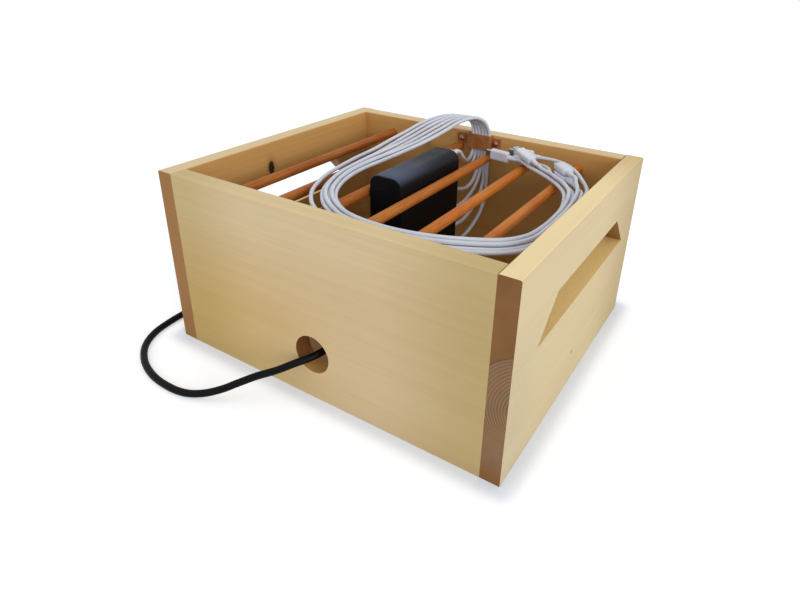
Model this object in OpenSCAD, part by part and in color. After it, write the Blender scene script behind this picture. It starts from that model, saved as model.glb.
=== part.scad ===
// Laptop charging box: an open pine box with six divider dowels, a standing
// multi-port charger, six charge cables and a mains lead.
// Millimetres. The front panel faces -Y, +Z is up, the origin is the middle
// of the box's underside.

/* [Box] */
// Outer length of the box along X
box_length = 370; // [340:1:420]
// Outer depth of the box along Y
box_depth = 320; // [310:1:360]
// Height of the four walls
box_height = 185; // [178:1:210]
// Thickness of the pine boards
board = 18; // [15:0.5:20]
// Radius of the eased top edges
edge_round = 1.6; // [0.5:0.1:3]
// Thickness of the plywood floor
floor_thickness = 9; // [6:0.5:12]
// Height of the floor's underside above the table
floor_lift = 6; // [4:0.5:10]
// Depth of the floor's grooves in the walls
groove_depth = 5; // [3:0.5:7]
// Room above the floor in its grooves
groove_play = 0.1; // [0.05:0.05:0.3]

/* [Corner joints] */
// Diameter of the hidden pins in the corners
pin_diameter = 8; // [6:0.5:10]
// Length of a corner pin
pin_length = 40; // [30:1:50]
// Depth of a corner pin in the side panel
pin_depth = 12; // [8:0.5:13]
// Height of the lowest corner pin
pin_low = 35; // [28:1:45]
// Height of the highest corner pin
pin_high = 150; // [130:1:160]
// Corner pins in each joint
pin_count = 3; // [2:1:4]
// Radial room round the glued pins and dowels
glue_room = 0.05; // [0.02:0.01:0.1]

/* [Divider dowels] */
// Diameter of the divider dowels
dowel_diameter = 10; // [8:0.5:11]
// Distance of the outermost dowels from the side panels
dowel_wall_gap = 44.5; // [40:0.5:50]
// Room between the charger and the dowels beside it
dowel_charger_room = 1.25; // [0.5:0.25:3]
// Distance of the dowels' axis from the rim
dowel_drop = 20; // [19:0.5:27]
// Depth of the dowels' sockets
socket_depth = 9; // [6:0.5:12]

/* [Handles and cable hole] */
// Length of the handle slot's lower edge
handle_length = 235; // [180:1:245]
// Height of the handle slot, its ends slant at 45 degrees
handle_height = 34.5; // [28:0.5:45]
// Height of the slot's lower edge
handle_low = 103; // [80:1:108]
// Offset of the right slot towards the back and of the left one to the front
handle_shift = 5.5; // [0:0.5:8]
// Diameter of the cable hole in the front panel
hole_diameter = 38; // [34:1:44]
// Place of the cable hole along X
hole_x = -4; // [-6:1:0]
// Height of the cable hole's centre
hole_height = 48; // [46:1:52]

/* [Cable strap] */
// Thickness of the leather
strap_thickness = 1.6; // [1:0.1:2]
// Height of the strap's wings
strap_wing_height = 12; // [10:0.5:14]
// Height of the raised middle
strap_height = 17.5; // [14:0.5:22]
// Length of the strap from end to end
strap_length = 56; // [54:1:60]
// Distance between the strap's screws
strap_screw_pitch = 44; // [44:0.5:47]
// Diameter of the screws' heads
screw_head = 6.5; // [5:0.5:7]
// Diameter of the screws' shanks
screw_shank = 3; // [2.5:0.5:3.5]
// Length of the screws' shanks
screw_length = 14; // [8:1:16]
// Thickness of the washers
washer_thickness = 0.8; // [0.5:0.1:1.2]

/* [Charger] */
// Width of the charger
charger_width = 36.5; // [35:0.5:38]
// Depth of the charger from end to end
charger_depth = 112; // [100:1:114]
// Height of the charger
charger_height = 171; // [165:1:176]
// Radius of the charger's long edges
charger_round = 11; // [8:0.5:14]
// Wall of the charger's sleeve
charger_wall = 2.2; // [1.5:0.1:3]
// Place of the charger's front end along Y
charger_front = -52; // [-54:1:-48]
// Thickness of the charger's end caps
cap_thickness = 3.5; // [2.5:0.5:5]
// Bevel round the end caps
cap_bevel = 0.9; // [0.5:0.1:1.5]
// Play of the caps' lips in the sleeve
cap_play = 0.1; // [0.05:0.05:0.2]
// Distance from port to port
port_pitch = 23; // [19:0.5:23]
// Height of the lowest port above the charger's foot
port_low = 46; // [42:1:46]
// Height of the mains inlet above the charger's foot
inlet_height = 45; // [43:1:50]
// Thickness of the circuit boards
circuit_board = 1.6; // [1:0.2:2]
// Diameter of the status light
light_diameter = 2.2; // [1.5:0.1:3]

/* [Cables] */
// Diameter of the charge cables
cable_diameter = 4; // [3.4:0.1:4]
// Width of a plug's metal shell
shell_width = 8.3; // [8:0.1:8.5]
// Thickness of a plug's metal shell
shell_thickness = 2.5; // [2.2:0.1:2.6]
// Width of a laptop plug's grip
grip_width = 12; // [10:0.5:12]
// Thickness of the grips
grip_thickness = 7.2; // [6:0.2:7.2]
// Diameter of the mains lead
lead_diameter = 7; // [6:0.5:7]
// Diameter of the wall plug's body
wall_plug_diameter = 37; // [34:1:38]

/* [Hidden] */
$fn = 48;

// Colours as the photograph shows them
pine = "#CDB483";
plywood = "#C9A066";
beech = "#C0703A";
leather = "#8B5528";
steel = "#B9BBBD";
copper = "#8C4A34";
charger_black = "#1C1D21";
cord_black = "#1A1A1C";
cable_white = "#D4D7E0";

// Places of the walls and the floor
eps = 0.01;
inner_x = box_length / 2 - board;
inner_y = box_depth / 2 - board;
floor_top = floor_lift + floor_thickness;
groove_end_room = 0.5;
dowel_count = 6;
dowel_first = charger_width / 2 + dowel_charger_room + dowel_diameter / 2;
dowel_step = (inner_x - dowel_wall_gap - dowel_first) / (dowel_count / 2 - 1);
dowel_length = 2 * (inner_y + socket_depth);
dowel_height = box_height - dowel_drop;

// The charger stands between the middle two, the others share the rest of the box
function dowel_x(i) = let (n = abs(i - (dowel_count + 1) / 2) - 0.5)
    sign(i - dowel_count / 2 - 0.5) * (dowel_first + n * dowel_step);

// Outline of a board that stands on edge, its two top edges eased.
// X is the board's thickness, Y is the height.
module board_outline() {
    square([board, box_height - edge_round]);
    translate([edge_round, 0])
        square([board - 2 * edge_round, box_height]);
    for (x = [edge_round, board - edge_round])
        translate([x, box_height - edge_round])
            circle(r = edge_round);
}

// Front or back board along X, its inner face at y = 0 and its body towards +Y
module cross_board() {
    rotate([90, 0, 90])
        linear_extrude(2 * inner_x, center = true)
            board_outline();
}

// Sockets, pin bores and floor groove of a front or back board
module cross_board_cuts() {
    for (i = [1 : dowel_count])
        translate([dowel_x(i), -eps, dowel_height])
            rotate([-90, 0, 0])
                cylinder(h = socket_depth + eps, d = dowel_diameter + 2 * glue_room);
    translate([-inner_x - eps, -eps, floor_lift])
        cube([2 * (inner_x + eps), groove_depth + eps, floor_thickness + groove_play]);
    for (s = [-1, 1])
        for (z = pin_heights)
            translate([s * (inner_x + eps), board / 2, z])
                rotate([0, -90 * s, 0])
                    cylinder(h = pin_length - pin_depth + eps, d = pin_diameter + 2 * glue_room);
}

pin_step = (pin_high - pin_low) / (pin_count - 1);
pin_heights = [for (i = [0 : pin_count - 1]) pin_low + i * pin_step];

module front_panel() {
    color(pine)
        difference() {
            translate([0, -inner_y, 0])
                rotate([0, 0, 180])
                    difference() {
                        cross_board();
                        cross_board_cuts();
                    }
            translate([hole_x, -box_depth / 2 - eps, hole_height])
                rotate([-90, 0, 0])
                    cylinder(h = board + 2 * eps, d = hole_diameter);
        }
}

module back_panel() {
    color(pine)
        translate([0, inner_y, 0])
            difference() {
                cross_board();
                cross_board_cuts();
                for (s = [-1, 1])
                    translate([s * strap_screw_pitch / 2, -eps, strap_screw_height])
                        rotate([-90, 0, 0])
                            cylinder(h = screw_depth + screw_end_room, d = screw_shank + 2 * screw_room);
            }
}

// Slot with slanted ends that a hand goes through
module handle_cut() {
    low = handle_length / 2;
    high = low - handle_height;
    rotate([90, 0, 90])
        linear_extrude(board + 2 * eps)
            polygon([
                [handle_shift - low, handle_low],
                [handle_shift + low, handle_low],
                [handle_shift + high, handle_low + handle_height],
                [handle_shift - high, handle_low + handle_height],
            ]);
}

// Side board along Y with its inner face at x = inner_x
module side_panel() {
    groove_half = inner_y + groove_depth;
    difference() {
        translate([inner_x, box_depth / 2, 0])
            rotate([90, 0, 0])
                linear_extrude(box_depth)
                    board_outline();
        translate([inner_x - eps, 0, 0])
            handle_cut();
        translate([inner_x - eps, -groove_half, floor_lift])
            cube([groove_depth + eps, 2 * groove_half, floor_thickness + groove_play]);
        for (s = [-1, 1])
            for (z = pin_heights)
                translate([inner_x - eps, s * (inner_y + board / 2), z])
                    rotate([0, 90, 0])
                        cylinder(h = pin_depth + eps, d = pin_diameter + 2 * glue_room);
    }
}

module right_panel() {
    color(pine)
        side_panel();
}

// The same board as on the right, turned round
module left_panel() {
    color(pine)
        rotate([0, 0, 180])
            side_panel();
}

module floor_panel() {
    size_x = 2 * (inner_x + groove_depth - groove_end_room);
    size_y = 2 * (inner_y + groove_depth - groove_end_room);
    color(plywood)
        translate([-size_x / 2, -size_y / 2, floor_lift])
            cube([size_x, size_y, floor_thickness]);
}

module corner_dowels() {
    color(beech)
        for (sx = [-1, 1])
            for (sy = [-1, 1])
                for (z = pin_heights)
                    translate([sx * (inner_x + pin_depth), sy * (inner_y + board / 2), z])
                        rotate([0, -90 * sx, 0])
                            cylinder(h = pin_length, d = pin_diameter);
}

module divider_dowel(i) {
    color(beech)
        translate([dowel_x(i), dowel_length / 2, dowel_height])
            rotate([90, 0, 0])
                cylinder(h = dowel_length, d = dowel_diameter);
}

// Places of the cables where the strap holds them
lane_count = 6;
lane_room = 0.1;
lane_pitch = cable_diameter + lane_room;
lane_middle = 4;
lane_half = lane_pitch * (lane_count - 1) / 2;
lane_first = lane_middle - lane_half;
lane_wall_room = 0.3;
lane_y = inner_y - cable_diameter / 2 - lane_wall_room;

// Leather strap: two wings on the wall and a raised middle over the cables,
// which has more room on the cables' left
strap_play = 0.3;
strap_left_play = 4.9;
strap_drop = 1;
strap_top = box_height - strap_drop;
strap_low = strap_top - strap_height;
strap_screw_height = strap_top - strap_height / 2;
strap_wing_low = strap_screw_height - strap_wing_height / 2;
hump_half = lane_half + cable_diameter / 2 + (strap_left_play + strap_play) / 2;
hump_middle = lane_middle - (strap_left_play - strap_play) / 2;
hump_depth = inner_y - lane_y + cable_diameter / 2 + strap_play;
hump_round = 2;
screw_depth = screw_length - strap_thickness - washer_thickness;
screw_room = 0.03;
screw_end_room = 0.5;
strap_hole_room = 0.2;
washer_rim = 0.5;
washer_room = 0.1;

// Half-round topped outline of the raised middle, open towards the wall
module hump_outline(half, depth, r) {
    translate([-half, -depth + r])
        square([2 * half, depth - r]);
    translate([-half + r, -depth])
        square([2 * (half - r), depth]);
    for (s = [-1, 1])
        translate([s * (half - r), -depth + r])
            circle(r = r);
}

module cable_strap() {
    color(leather)
        translate([0, inner_y, 0])
            difference() {
                union() {
                    translate([hump_middle, 0, strap_low])
                        linear_extrude(strap_height)
                            hump_outline(hump_half + strap_thickness, hump_depth + strap_thickness,
                                hump_round + strap_thickness);
                    translate([-strap_length / 2, -strap_thickness, strap_wing_low])
                        cube([strap_length, strap_thickness, strap_wing_height]);
                }
                translate([hump_middle, 0, strap_low - eps])
                    linear_extrude(strap_height + 2 * eps)
                        hump_outline(hump_half, hump_depth, hump_round);
                translate([hump_middle - hump_half, -eps, strap_low - eps])
                    cube([2 * hump_half, 2 * eps, strap_height + 2 * eps]);
                for (s = [-1, 1])
                    translate([s * strap_screw_pitch / 2, eps, strap_screw_height])
                        rotate([90, 0, 0])
                            cylinder(h = strap_thickness + 2 * eps, d = screw_shank + 2 * strap_hole_room);
            }
}

// Round-headed screws that hold the strap, with a cross recess
module strap_screws() {
    head_height = screw_head * 0.38;
    dome = (screw_head * screw_head / 4 + head_height * head_height) / (2 * head_height);
    seat = inner_y - strap_thickness - washer_thickness;
    color(copper)
        for (s = [-1, 1])
            translate([s * strap_screw_pitch / 2, seat, strap_screw_height])
                rotate([90, 0, 0])
                    difference() {
                        union() {
                            translate([0, 0, -screw_length])
                                cylinder(h = screw_length + eps, d = screw_shank);
                            intersection() {
                                translate([0, 0, head_height - dome])
                                    sphere(r = dome);
                                cylinder(h = head_height + 1, d = screw_head + 1);
                            }
                        }
                        for (a = [0, 90])
                            rotate([0, 0, a])
                                translate([-screw_head * 0.28, -0.4, head_height * 0.45])
                                    cube([screw_head * 0.56, 0.8, head_height]);
                    }
}

module strap_washers() {
    color(steel)
        for (s = [-1, 1])
            translate([s * strap_screw_pitch / 2, inner_y - strap_thickness, strap_screw_height])
                rotate([90, 0, 0])
                    difference() {
                        cylinder(h = washer_thickness, d = screw_head + 2 * washer_rim);
                        translate([0, 0, -eps])
                            cylinder(h = washer_thickness + 2 * eps, d = screw_shank + 2 * washer_room);
                    }
}

// Rounded rectangle with true arcs
module rounded_rect(w, h, r) {
    square([w - 2 * r, h], center = true);
    square([w, h - 2 * r], center = true);
    for (x = [-1, 1])
        for (y = [-1, 1])
            translate([x * (w / 2 - r), y * (h / 2 - r)])
                circle(r = r);
}

// Rounded plate from z = 0 to t whose far rim is bevelled by c
module bevelled_plate(w, h, r, t, c) {
    linear_extrude(t - c)
        rounded_rect(w, h, r);
    translate([0, 0, t - c]) {
        for (x = [-1, 1])
            for (y = [-1, 1])
                translate([x * (w / 2 - r), y * (h / 2 - r), 0])
                    cylinder(h = c, r1 = r, r2 = r - c);
        rotate([90, 0, 0])
            linear_extrude(h - 2 * r, center = true)
                polygon([[-w / 2, 0], [w / 2, 0], [w / 2 - c, c], [c - w / 2, c]]);
        rotate([90, 0, 90])
            linear_extrude(w - 2 * r, center = true)
                polygon([[-h / 2, 0], [h / 2, 0], [h / 2 - c, c], [c - h / 2, c]]);
    }
}

// Places on the charger
charger_back = charger_front + charger_depth;
charger_middle_z = floor_top + charger_height / 2;
sleeve_start = charger_front + cap_thickness;
sleeve_length = charger_depth - 2 * cap_thickness;
cavity_width = charger_width - 2 * charger_wall;
cavity_height = charger_height - 2 * charger_wall;
cavity_round = charger_round - charger_wall;
lip_depth = 4;
lip_wall = 1.6;
light_y = -26;
light_x = -9;

function port_z(i) = floor_top + port_low + (lane_count - i) * port_pitch;

// Puts a part with its Z axis along +Y, its own Y axis upright
module along_y(y, z = charger_middle_z) {
    translate([0, y, z])
        rotate([90, 0, 180])
            children();
}

module charger_sleeve() {
    color(charger_black)
        difference() {
            along_y(sleeve_start)
                linear_extrude(sleeve_length)
                    difference() {
                        rounded_rect(charger_width, charger_height, charger_round);
                        cavity_outline(0);
                    }
            translate([light_x, light_y, floor_top + charger_height - charger_wall - 1])
                cylinder(h = charger_wall + 2, d = light_diameter);
        }
}

// Outline of the sleeve's inside, smaller by inset
module cavity_outline(inset) {
    rounded_rect(cavity_width - 2 * inset, cavity_height - 2 * inset, cavity_round - inset);
}

// End cap with a bevelled rim and a lip that seats in the sleeve
module charger_cap() {
    bevelled_plate(charger_width, charger_height, charger_round, cap_thickness, cap_bevel);
    translate([0, 0, -lip_depth])
        linear_extrude(lip_depth + eps)
            difference() {
                cavity_outline(cap_play);
                cavity_outline(lip_wall);
            }
}

// Mains inlet: its opening has two cut corners
inlet_width = 27;
inlet_tall = 19.5;
inlet_wall = 1.5;
inlet_depth = 18;
inlet_z = floor_top + inlet_height;
inlet_play = 0.15;

module inlet_outline(grow) {
    w = inlet_width / 2 + grow;
    h = inlet_tall / 2 + grow;
    cut = 4.5 + grow * 0.41;
    polygon([[-w, -h], [w, -h], [w, h - cut], [w - cut, h], [cut - w, h], [-w, h - cut]]);
}

panel_width = 20;
panel_height = 22;
panel_z = 148;
panel_recess = 0.5;

module charger_inlet_end() {
    color(charger_black)
        difference() {
            translate([0, sleeve_start, charger_middle_z])
                rotate([90, 0, 0])
                    charger_cap();
            translate([0, charger_front - eps, inlet_z])
                rotate([-90, 180, 0])
                    linear_extrude(cap_thickness + 2 * eps)
                        inlet_outline(inlet_play);
            translate([-panel_width / 2, charger_front - eps, panel_z])
                cube([panel_width, panel_recess + eps, panel_height]);
        }
}

flange_width = 28.4;
flange_height = 25;
flange_thickness = 1.6;
inlet_back = 2;
pin_start = 3;
pin_tail = 1.5;
pin_room = 0.02;
INLET_PINS = [[-7, -2], [0, 2], [7, -2]];

// The three flat pins, each side larger by grow
module inlet_pin_bars(grow, start, end) {
    for (p = INLET_PINS)
        translate([p[0] - 1 - grow, charger_front + start, inlet_z + p[1] - 2 - grow])
            cube([2 + 2 * grow, end - start, 4 + 2 * grow]);
}

module charger_inlet() {
    color(cord_black)
        difference() {
            union() {
                translate([0, charger_front, inlet_z])
                    rotate([-90, 180, 0])
                        linear_extrude(inlet_depth)
                            inlet_outline(0);
                translate([-flange_width / 2, charger_front + cap_thickness, inlet_z - flange_height / 2])
                    cube([flange_width, flange_thickness, flange_height]);
            }
            translate([0, charger_front - eps, inlet_z])
                rotate([-90, 180, 0])
                    linear_extrude(inlet_depth - inlet_back)
                        inlet_outline(-inlet_wall);
            inlet_pin_bars(pin_room, inlet_depth - inlet_back - 1, inlet_depth + 1);
        }
}

module charger_inlet_pins() {
    color(steel)
        inlet_pin_bars(0, pin_start, inlet_depth + pin_tail);
}

// USB sockets: flat tubes with a tongue, one above the other
socket_room = 0.1;
socket_wall = 0.3;
socket_length = 8;
tongue = 0.7;

module stadium(w, h) {
    square([w - h, h], center = true);
    for (s = [-1, 1])
        translate([s * (w - h) / 2, 0])
            circle(d = h);
}

socket_inner_w = shell_width + 2 * socket_room;
socket_inner_h = shell_thickness + 2 * socket_room;
socket_outer_w = socket_inner_w + 2 * socket_wall;
socket_outer_h = socket_inner_h + 2 * socket_wall;
port_room = 0.1;

module usb_sockets() {
    color(steel)
        for (i = [1 : lane_count])
            along_y(charger_back - socket_length, port_z(i)) {
                difference() {
                    linear_extrude(socket_length)
                        stadium(socket_outer_w, socket_outer_h);
                    translate([0, 0, 0.6])
                        linear_extrude(socket_length)
                            stadium(socket_inner_w, socket_inner_h);
                }
                translate([-3.2, -tongue / 2, 0.5])
                    cube([6.4, tongue, socket_length - 2]);
            }
}

module charger_port_end() {
    color(charger_black)
        difference() {
            translate([0, charger_back - cap_thickness, charger_middle_z])
                rotate([90, 0, 180])
                    charger_cap();
            for (i = [1 : lane_count])
                along_y(charger_back - cap_thickness - lip_depth, port_z(i))
                    linear_extrude(cap_thickness + lip_depth + eps)
                        stadium(socket_outer_w + 2 * port_room, socket_outer_h + 2 * port_room);
        }
}

// Boards and parts inside the charger
port_board_y = charger_back - socket_length - circuit_board;
port_board_width = 20;
port_board_margin = 5;
board_margin = 6;
board_room = 2;
main_board_x = -5.5;
main_board_low = floor_top + charger_wall;
transformer = [20, 30, 26];
transformer_start = 42;
transformer_low = 60;
capacitor_diameter = 16;
capacitor_length = 18;
capacitor_start = 48;
capacitor_heights = [105, 128];
heat_sink = [3, 14, 90];
heat_sink_start = 78;
heat_sink_low = 40;

module charger_port_board() {
    low = port_z(lane_count) - port_board_margin;
    color("#1E5B3A")
        translate([-port_board_width / 2, port_board_y, low])
            cube([port_board_width, circuit_board, port_z(1) - low + port_board_margin]);
}

module charger_main_board() {
    start = charger_front + inlet_depth + board_room;
    color("#1E5B3A")
        translate([main_board_x - circuit_board, start, main_board_low])
            cube([circuit_board, port_board_y - start, cavity_height - board_margin]);
}

module charger_components() {
    translate([main_board_x, charger_front, floor_top]) {
        color("#3B3F46")
            translate([0, transformer_start, transformer_low])
                cube(transformer);
        color("#2E4A78")
            for (z = capacitor_heights)
                translate([0, capacitor_start, z])
                    rotate([0, 90, 0])
                        cylinder(h = capacitor_length, d = capacitor_diameter);
        color("#4A4A4A")
            translate([0, heat_sink_start, heat_sink_low])
                cube(heat_sink);
    }
}

module charger_light() {
    color("#7F8FA8")
        translate([light_x, light_y, floor_top + charger_height - charger_wall])
            cylinder(h = charger_wall - 0.1, d = light_diameter - 0.02);
}

// Plug with its cable end at the origin and its metal shell towards +X
grip_round = 2.6;
grip_bevel = 0.8;
relief_length = 9;
relief_wide = 3;
relief_narrow = cable_diameter / 2 + 0.3;
shell_length = 6.6;
shell_wall = 0.3;
laptop_grip_length = 22;
charger_grip_length = 19;

module plug_grip(grip_length, width) {
    half = grip_length / 2;
    rotate([0, 90, 0])
        cylinder(h = relief_length, r1 = relief_narrow, r2 = relief_wide);
    translate([relief_length + half, 0, 0])
        rotate([90, 0, 90]) {
            bevelled_plate(width, grip_thickness, grip_round, half, grip_bevel);
            mirror([0, 0, 1])
                bevelled_plate(width, grip_thickness, grip_round, half, grip_bevel);
        }
}

module plug_shell(start) {
    translate([start, 0, 0])
        rotate([90, 0, 90])
            difference() {
                linear_extrude(shell_length)
                    stadium(shell_width, shell_thickness);
                translate([0, 0, 0.5])
                    linear_extrude(shell_length)
                        stadium(shell_width - 2 * shell_wall, shell_thickness - 2 * shell_wall);
            }
}

charger_grip_width = 11;
charger_plug_reach = relief_length + charger_grip_length;

// Turns a plug towards -Y, its shell in port i
module at_port(i) {
    translate([0, charger_back + charger_plug_reach, port_z(i)])
        rotate([0, 0, -90])
            children();
}

module charger_plug(i) {
    color(cable_white)
        at_port(i)
            plug_grip(charger_grip_length, charger_grip_width);
}

module charger_plug_shells() {
    color(steel)
        for (i = [1 : lane_count])
            at_port(i)
                plug_shell(charger_plug_reach);
}

// The loop's places are given for a box of this inner half size and height.
// In another box they move with its right, front and back walls and its rim.
loop_box = [167, 142, 185];
wall_reach = [150, 130];

function with_box(p) = [
    min(max(p[0] / wall_reach[0], 0), 1) * (inner_x - loop_box[0]),
    min(max(p[1] / wall_reach[1], -1), 1) * (inner_y - loop_box[1]),
    box_height - loop_box[2],
];

// Laptop plugs as they lie: place of the cable end, then heading, pitch and
// roll in degrees. Two stand on edge and one leans on the others.
PLUGS = [
    [[87, 119, 176.5], 180, 0, 90],
    [[141, 66, 173.8], 134, 0, 0],
    [[139, 69, 181.4], 134, 0, 0],
    [[91.5, 102, 174], 168, 0, 0],
    [[95.8, 88.2, 178], 155, 15, 0],
    [[67.3, 96.4, 176.5], 172, 0, 90],
];

function plug_place(i) = PLUGS[i - 1][0] + with_box(PLUGS[i - 1][0]);

module at_plug(i) {
    translate(plug_place(i))
        rotate([PLUGS[i - 1][3], -PLUGS[i - 1][2], PLUGS[i - 1][1]])
            children();
}

module laptop_plug(i) {
    color(cable_white)
        at_plug(i)
            plug_grip(laptop_grip_length, grip_width);
}

module laptop_plug_shells() {
    color(steel)
        for (i = [1 : lane_count])
            at_plug(i)
                plug_shell(relief_length + laptop_grip_length);
}

// Smooth curve through the points of a route
function curve_point(a, b, c, d, t) =
    0.5 * (2 * b + (c - a) * t + (2 * a - 5 * b + 4 * c - d) * t * t + (3 * b - a - 3 * c + d) * t * t * t);

function smooth(p, steps) = let (
    last = len(p) - 1,
    q = concat([2 * p[0] - p[1]], p, [2 * p[last] - p[last - 1]])
) concat(
    [for (i = [0 : last - 1]) for (k = [0 : steps - 1])
        curve_point(q[i], q[i + 1], q[i + 2], q[i + 3], k / steps)],
    [p[last]]
);

// Tube of n sides along points, its faces all triangles
function unit(v) = v / norm(v);
function heading(p, i) = unit(p[min(i + 1, len(p) - 1)] - p[max(i - 1, 0)]);
function square_to(v, t) = unit(v - (v * t) * t);
function frames(p) = [
    for (
        s = [0, square_to([0.1, 0.2, 1], heading(p, 0))];
        s[0] < len(p);
        s = [s[0] + 1, s[0] + 1 < len(p) ? square_to(s[1], heading(p, s[0] + 1)) : s[1]]
    ) s[1]
];

module tube(p, d, n) {
    side = frames(p);
    rings = [
        for (i = [0 : len(p) - 1])
            let (t = heading(p, i), u = side[i], v = cross(t, u))
            for (k = [0 : n - 1])
                p[i] + d / 2 * (u * cos(360 * k / n) + v * sin(360 * k / n))
    ];
    last = (len(p) - 1) * n;
    walls = [
        for (i = [0 : len(p) - 2])
            for (k = [0 : n - 1])
                let (a = i * n + k, b = i * n + (k + 1) % n)
                for (f = [[a, a + n, b], [b, a + n, b + n]]) f
    ];
    caps = [
        for (k = [1 : n - 2])
            for (f = [[0, k, k + 1], [last, last + k + 1, last + k]]) f
    ];
    polyhedron(points = rings, faces = concat(walls, caps), convexity = 10);
}

// Shared stations of the six charge cables from the strap round the loop:
// place of the innermost cable, way to the outermost one, the outermost
// cable's gap as a share of that way, and the rise of every second cable
STATIONS = [
    [[14, 139.5, 183], [-20.5, 0, 0], 0.2, 0],
    [[13.5, 137.5, 191], [-21.5, 3.5, -1.5], 0.2, 0],
    [[10.5, 131.5, 201.5], [-24.5, 12, -4.5], 0.2, 0],
    [[4, 124, 206.5], [-29.5, 17, -5.5], 0.2, 0],
    [[-3, 115, 206], [-35.5, 17, -4.5], 0.2, 0],
    [[-10, 105, 202.5], [-39, 14, -3.2], 0.2, 0],
    [[-17, 95.5, 196.5], [-42, 8, -2.2], 0.2, 0],
    [[-24, 80, 190.5], [-42.5, 6, -3], 0.2, 0],
    [[-30.5, 60, 185.5], [-40.5, 3, -2.5], 0.25, 0],
    [[-37, 34, 181.5], [-36.5, 0, -3], 0.3, 1.5],
    [[-43, 6, 178.5], [-32.5, -3, -2.5], 0.4, 3],
    [[-47.5, -20, 176.5], [-27.5, -5, -2.5], 0.45, 3],
    [[-47.5, -43, 175], [-24, -6, -1.5], 0.45, 3],
    [[-43, -63, 174], [-21, -10, -1], 0.45, 3],
    [[-35, -81, 173], [-17, -15, 0], 0.45, 3],
    [[-23, -96, 172.4], [-11.5, -19.5, 0], 0.45, 3],
    [[-7, -108.5, 172.3], [-6.5, -20.5, 0], 0.42, 3],
    [[12, -117.5, 172.3], [-2.5, -19, 0], 0.3, 3],
    [[36, -121.8, 172.3], [0, -17.6, 0], 0.26, 3],
    [[64, -121, 172.3], [0, -18, 0], 0.26, 3],
    [[92, -114, 172.3], [3, -19.5, 0], 0.26, 3],
    [[117, -103, 172.3], [8, -18, 0], 0.26, 3],
    [[137, -87, 171], [13, -14.5, 0], 0.26, 3],
    [[148, -67, 169.5], [14.5, -8, 0], 0.26, 3.2],
    [[152, -43, 168.5], [12.6, -3, 0], 0.34, 3.65],
    [[152.4, -18, 168.5], [12.6, 0, 0], 0.34, 3.65],
    [[150.5, 12, 169.5], [14, 3, 1], 0.3, 3.6],
    [[143, 38, 172], [17.5, 11, 1], 0.22, 3],
];

// Last points of each cable before its laptop plug
TAILS = [
    [[156.5, 62, 174], [147.5, 77, 175], [136, 93, 176.5], [122.5, 107, 177.3], [107.5, 116, 177]],
    [[150, 55, 173.5]],
    [[147, 57, 179.5]],
    [[138, 57.5, 173], [123, 70.5, 173.4], [111.5, 84.5, 173.7], [106, 94.5, 173.9]],
    [[136, 53.5, 177.5], [124.5, 65, 177.3], [113, 76.5, 176.7]],
    [[131.5, 54.5, 173], [116, 70, 172.8], [101.5, 82, 172.5], [87, 90.5, 173.2]],
];

// Heights of each cable above its port on its way to the back panel, and the
// distances from the cables' plane there and the shares of the way to its lane
RISES = [
    [-3, -12, -19, -21.5, -19.5, -14.5, -9],
    [-1, -3.5, -5.5, -5, -0.5, 6, 13],
    [-1.5, -4.5, -5, -1.5, 6, 14.5, 24],
    [0, 1.5, 6.5, 15, 26, 37, 49],
    [0, 2, 9, 20, 33, 45, 58],
    [0, 2.5, 11, 24, 38, 51, 65],
];
RISE_WAY = [[44.7, 0], [33.7, 0.25], [22.7, 0.55], [12.7, 0.85], [5.2, 1], [0.8, 1], [0, 1]];

// Cable i counts from the strap's left end, which is the outermost in the loop
function lane_x(i) = lane_first + (i - 1) * lane_pitch;

function lane_place(s, j) = let (
    way = j == 5 ? 1 : j / 4 * (1 - s[2]),
    lift = j % 2 == 1 && j < 5 ? s[3] : 0
) s[0] + with_box(s[0]) + way * s[1] + [0, 0, lift];

function rise(i) = concat(
    [[0, charger_back + charger_plug_reach, port_z(i)]],
    [for (k = [0 : len(RISE_WAY) - 1])
        [RISE_WAY[k][1] * lane_x(i), lane_y - RISE_WAY[k][0], port_z(i) + RISES[i - 1][k]]]
);

strap_entry = strap_low + 5;
upright_step = 22;

function upright(i) = let (
    start = port_z(i) + RISES[i - 1][len(RISE_WAY) - 1],
    n = max(ceil((strap_entry - start) / upright_step), 1)
) [for (k = [1 : n]) [lane_x(i), lane_y, start + (strap_entry - start) * k / n]];

plug_run = 7;

function plug_end(i) = let (a = PLUGS[i - 1][1], b = PLUGS[i - 1][2], p = plug_place(i)) [
    p - plug_run * [cos(a) * cos(b), sin(a) * cos(b), sin(b)],
    p,
];

function cable_route(i) = concat(
    rise(i),
    upright(i),
    [for (s = STATIONS) lane_place(s, lane_count - i)],
    [for (p = TAILS[i - 1]) p + with_box(p)],
    plug_end(i)
);

cable_sides = 8;
cable_steps = 2;

module charge_cable(i) {
    color(cable_white)
        tube(smooth(cable_route(i), cable_steps), cable_diameter, cable_sides);
}

// Mains lead: connector in the charger's inlet, out through the hole, down to
// the table and round to the left of the box, where its length lies in a coil
connector_nose = 15;
connector_body = 26;
connector_relief = 14;
connector_room = 0.3;
connector_end = charger_front - connector_body - connector_relief;

module inlet_connector() {
    color(cord_black)
        translate([0, charger_front, inlet_z])
            rotate([90, 0, 0]) {
                difference() {
                    translate([0, 0, -connector_nose])
                        linear_extrude(connector_nose + eps)
                            inlet_outline(-inlet_wall - connector_room);
                    for (p = INLET_PINS)
                        translate([p[0] - 1.2, p[1] - 2.2, -connector_nose - eps])
                            cube([2.4, 4.4, connector_nose - 1]);
                }
                bevelled_plate(27, 20, 4, connector_body, 2);
                translate([0, 0, connector_body - eps])
                    cylinder(h = connector_relief + eps, r1 = 6, r2 = lead_diameter / 2 + 0.4);
            }
}

lead_low = lead_diameter / 2 + 0.1;

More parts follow.
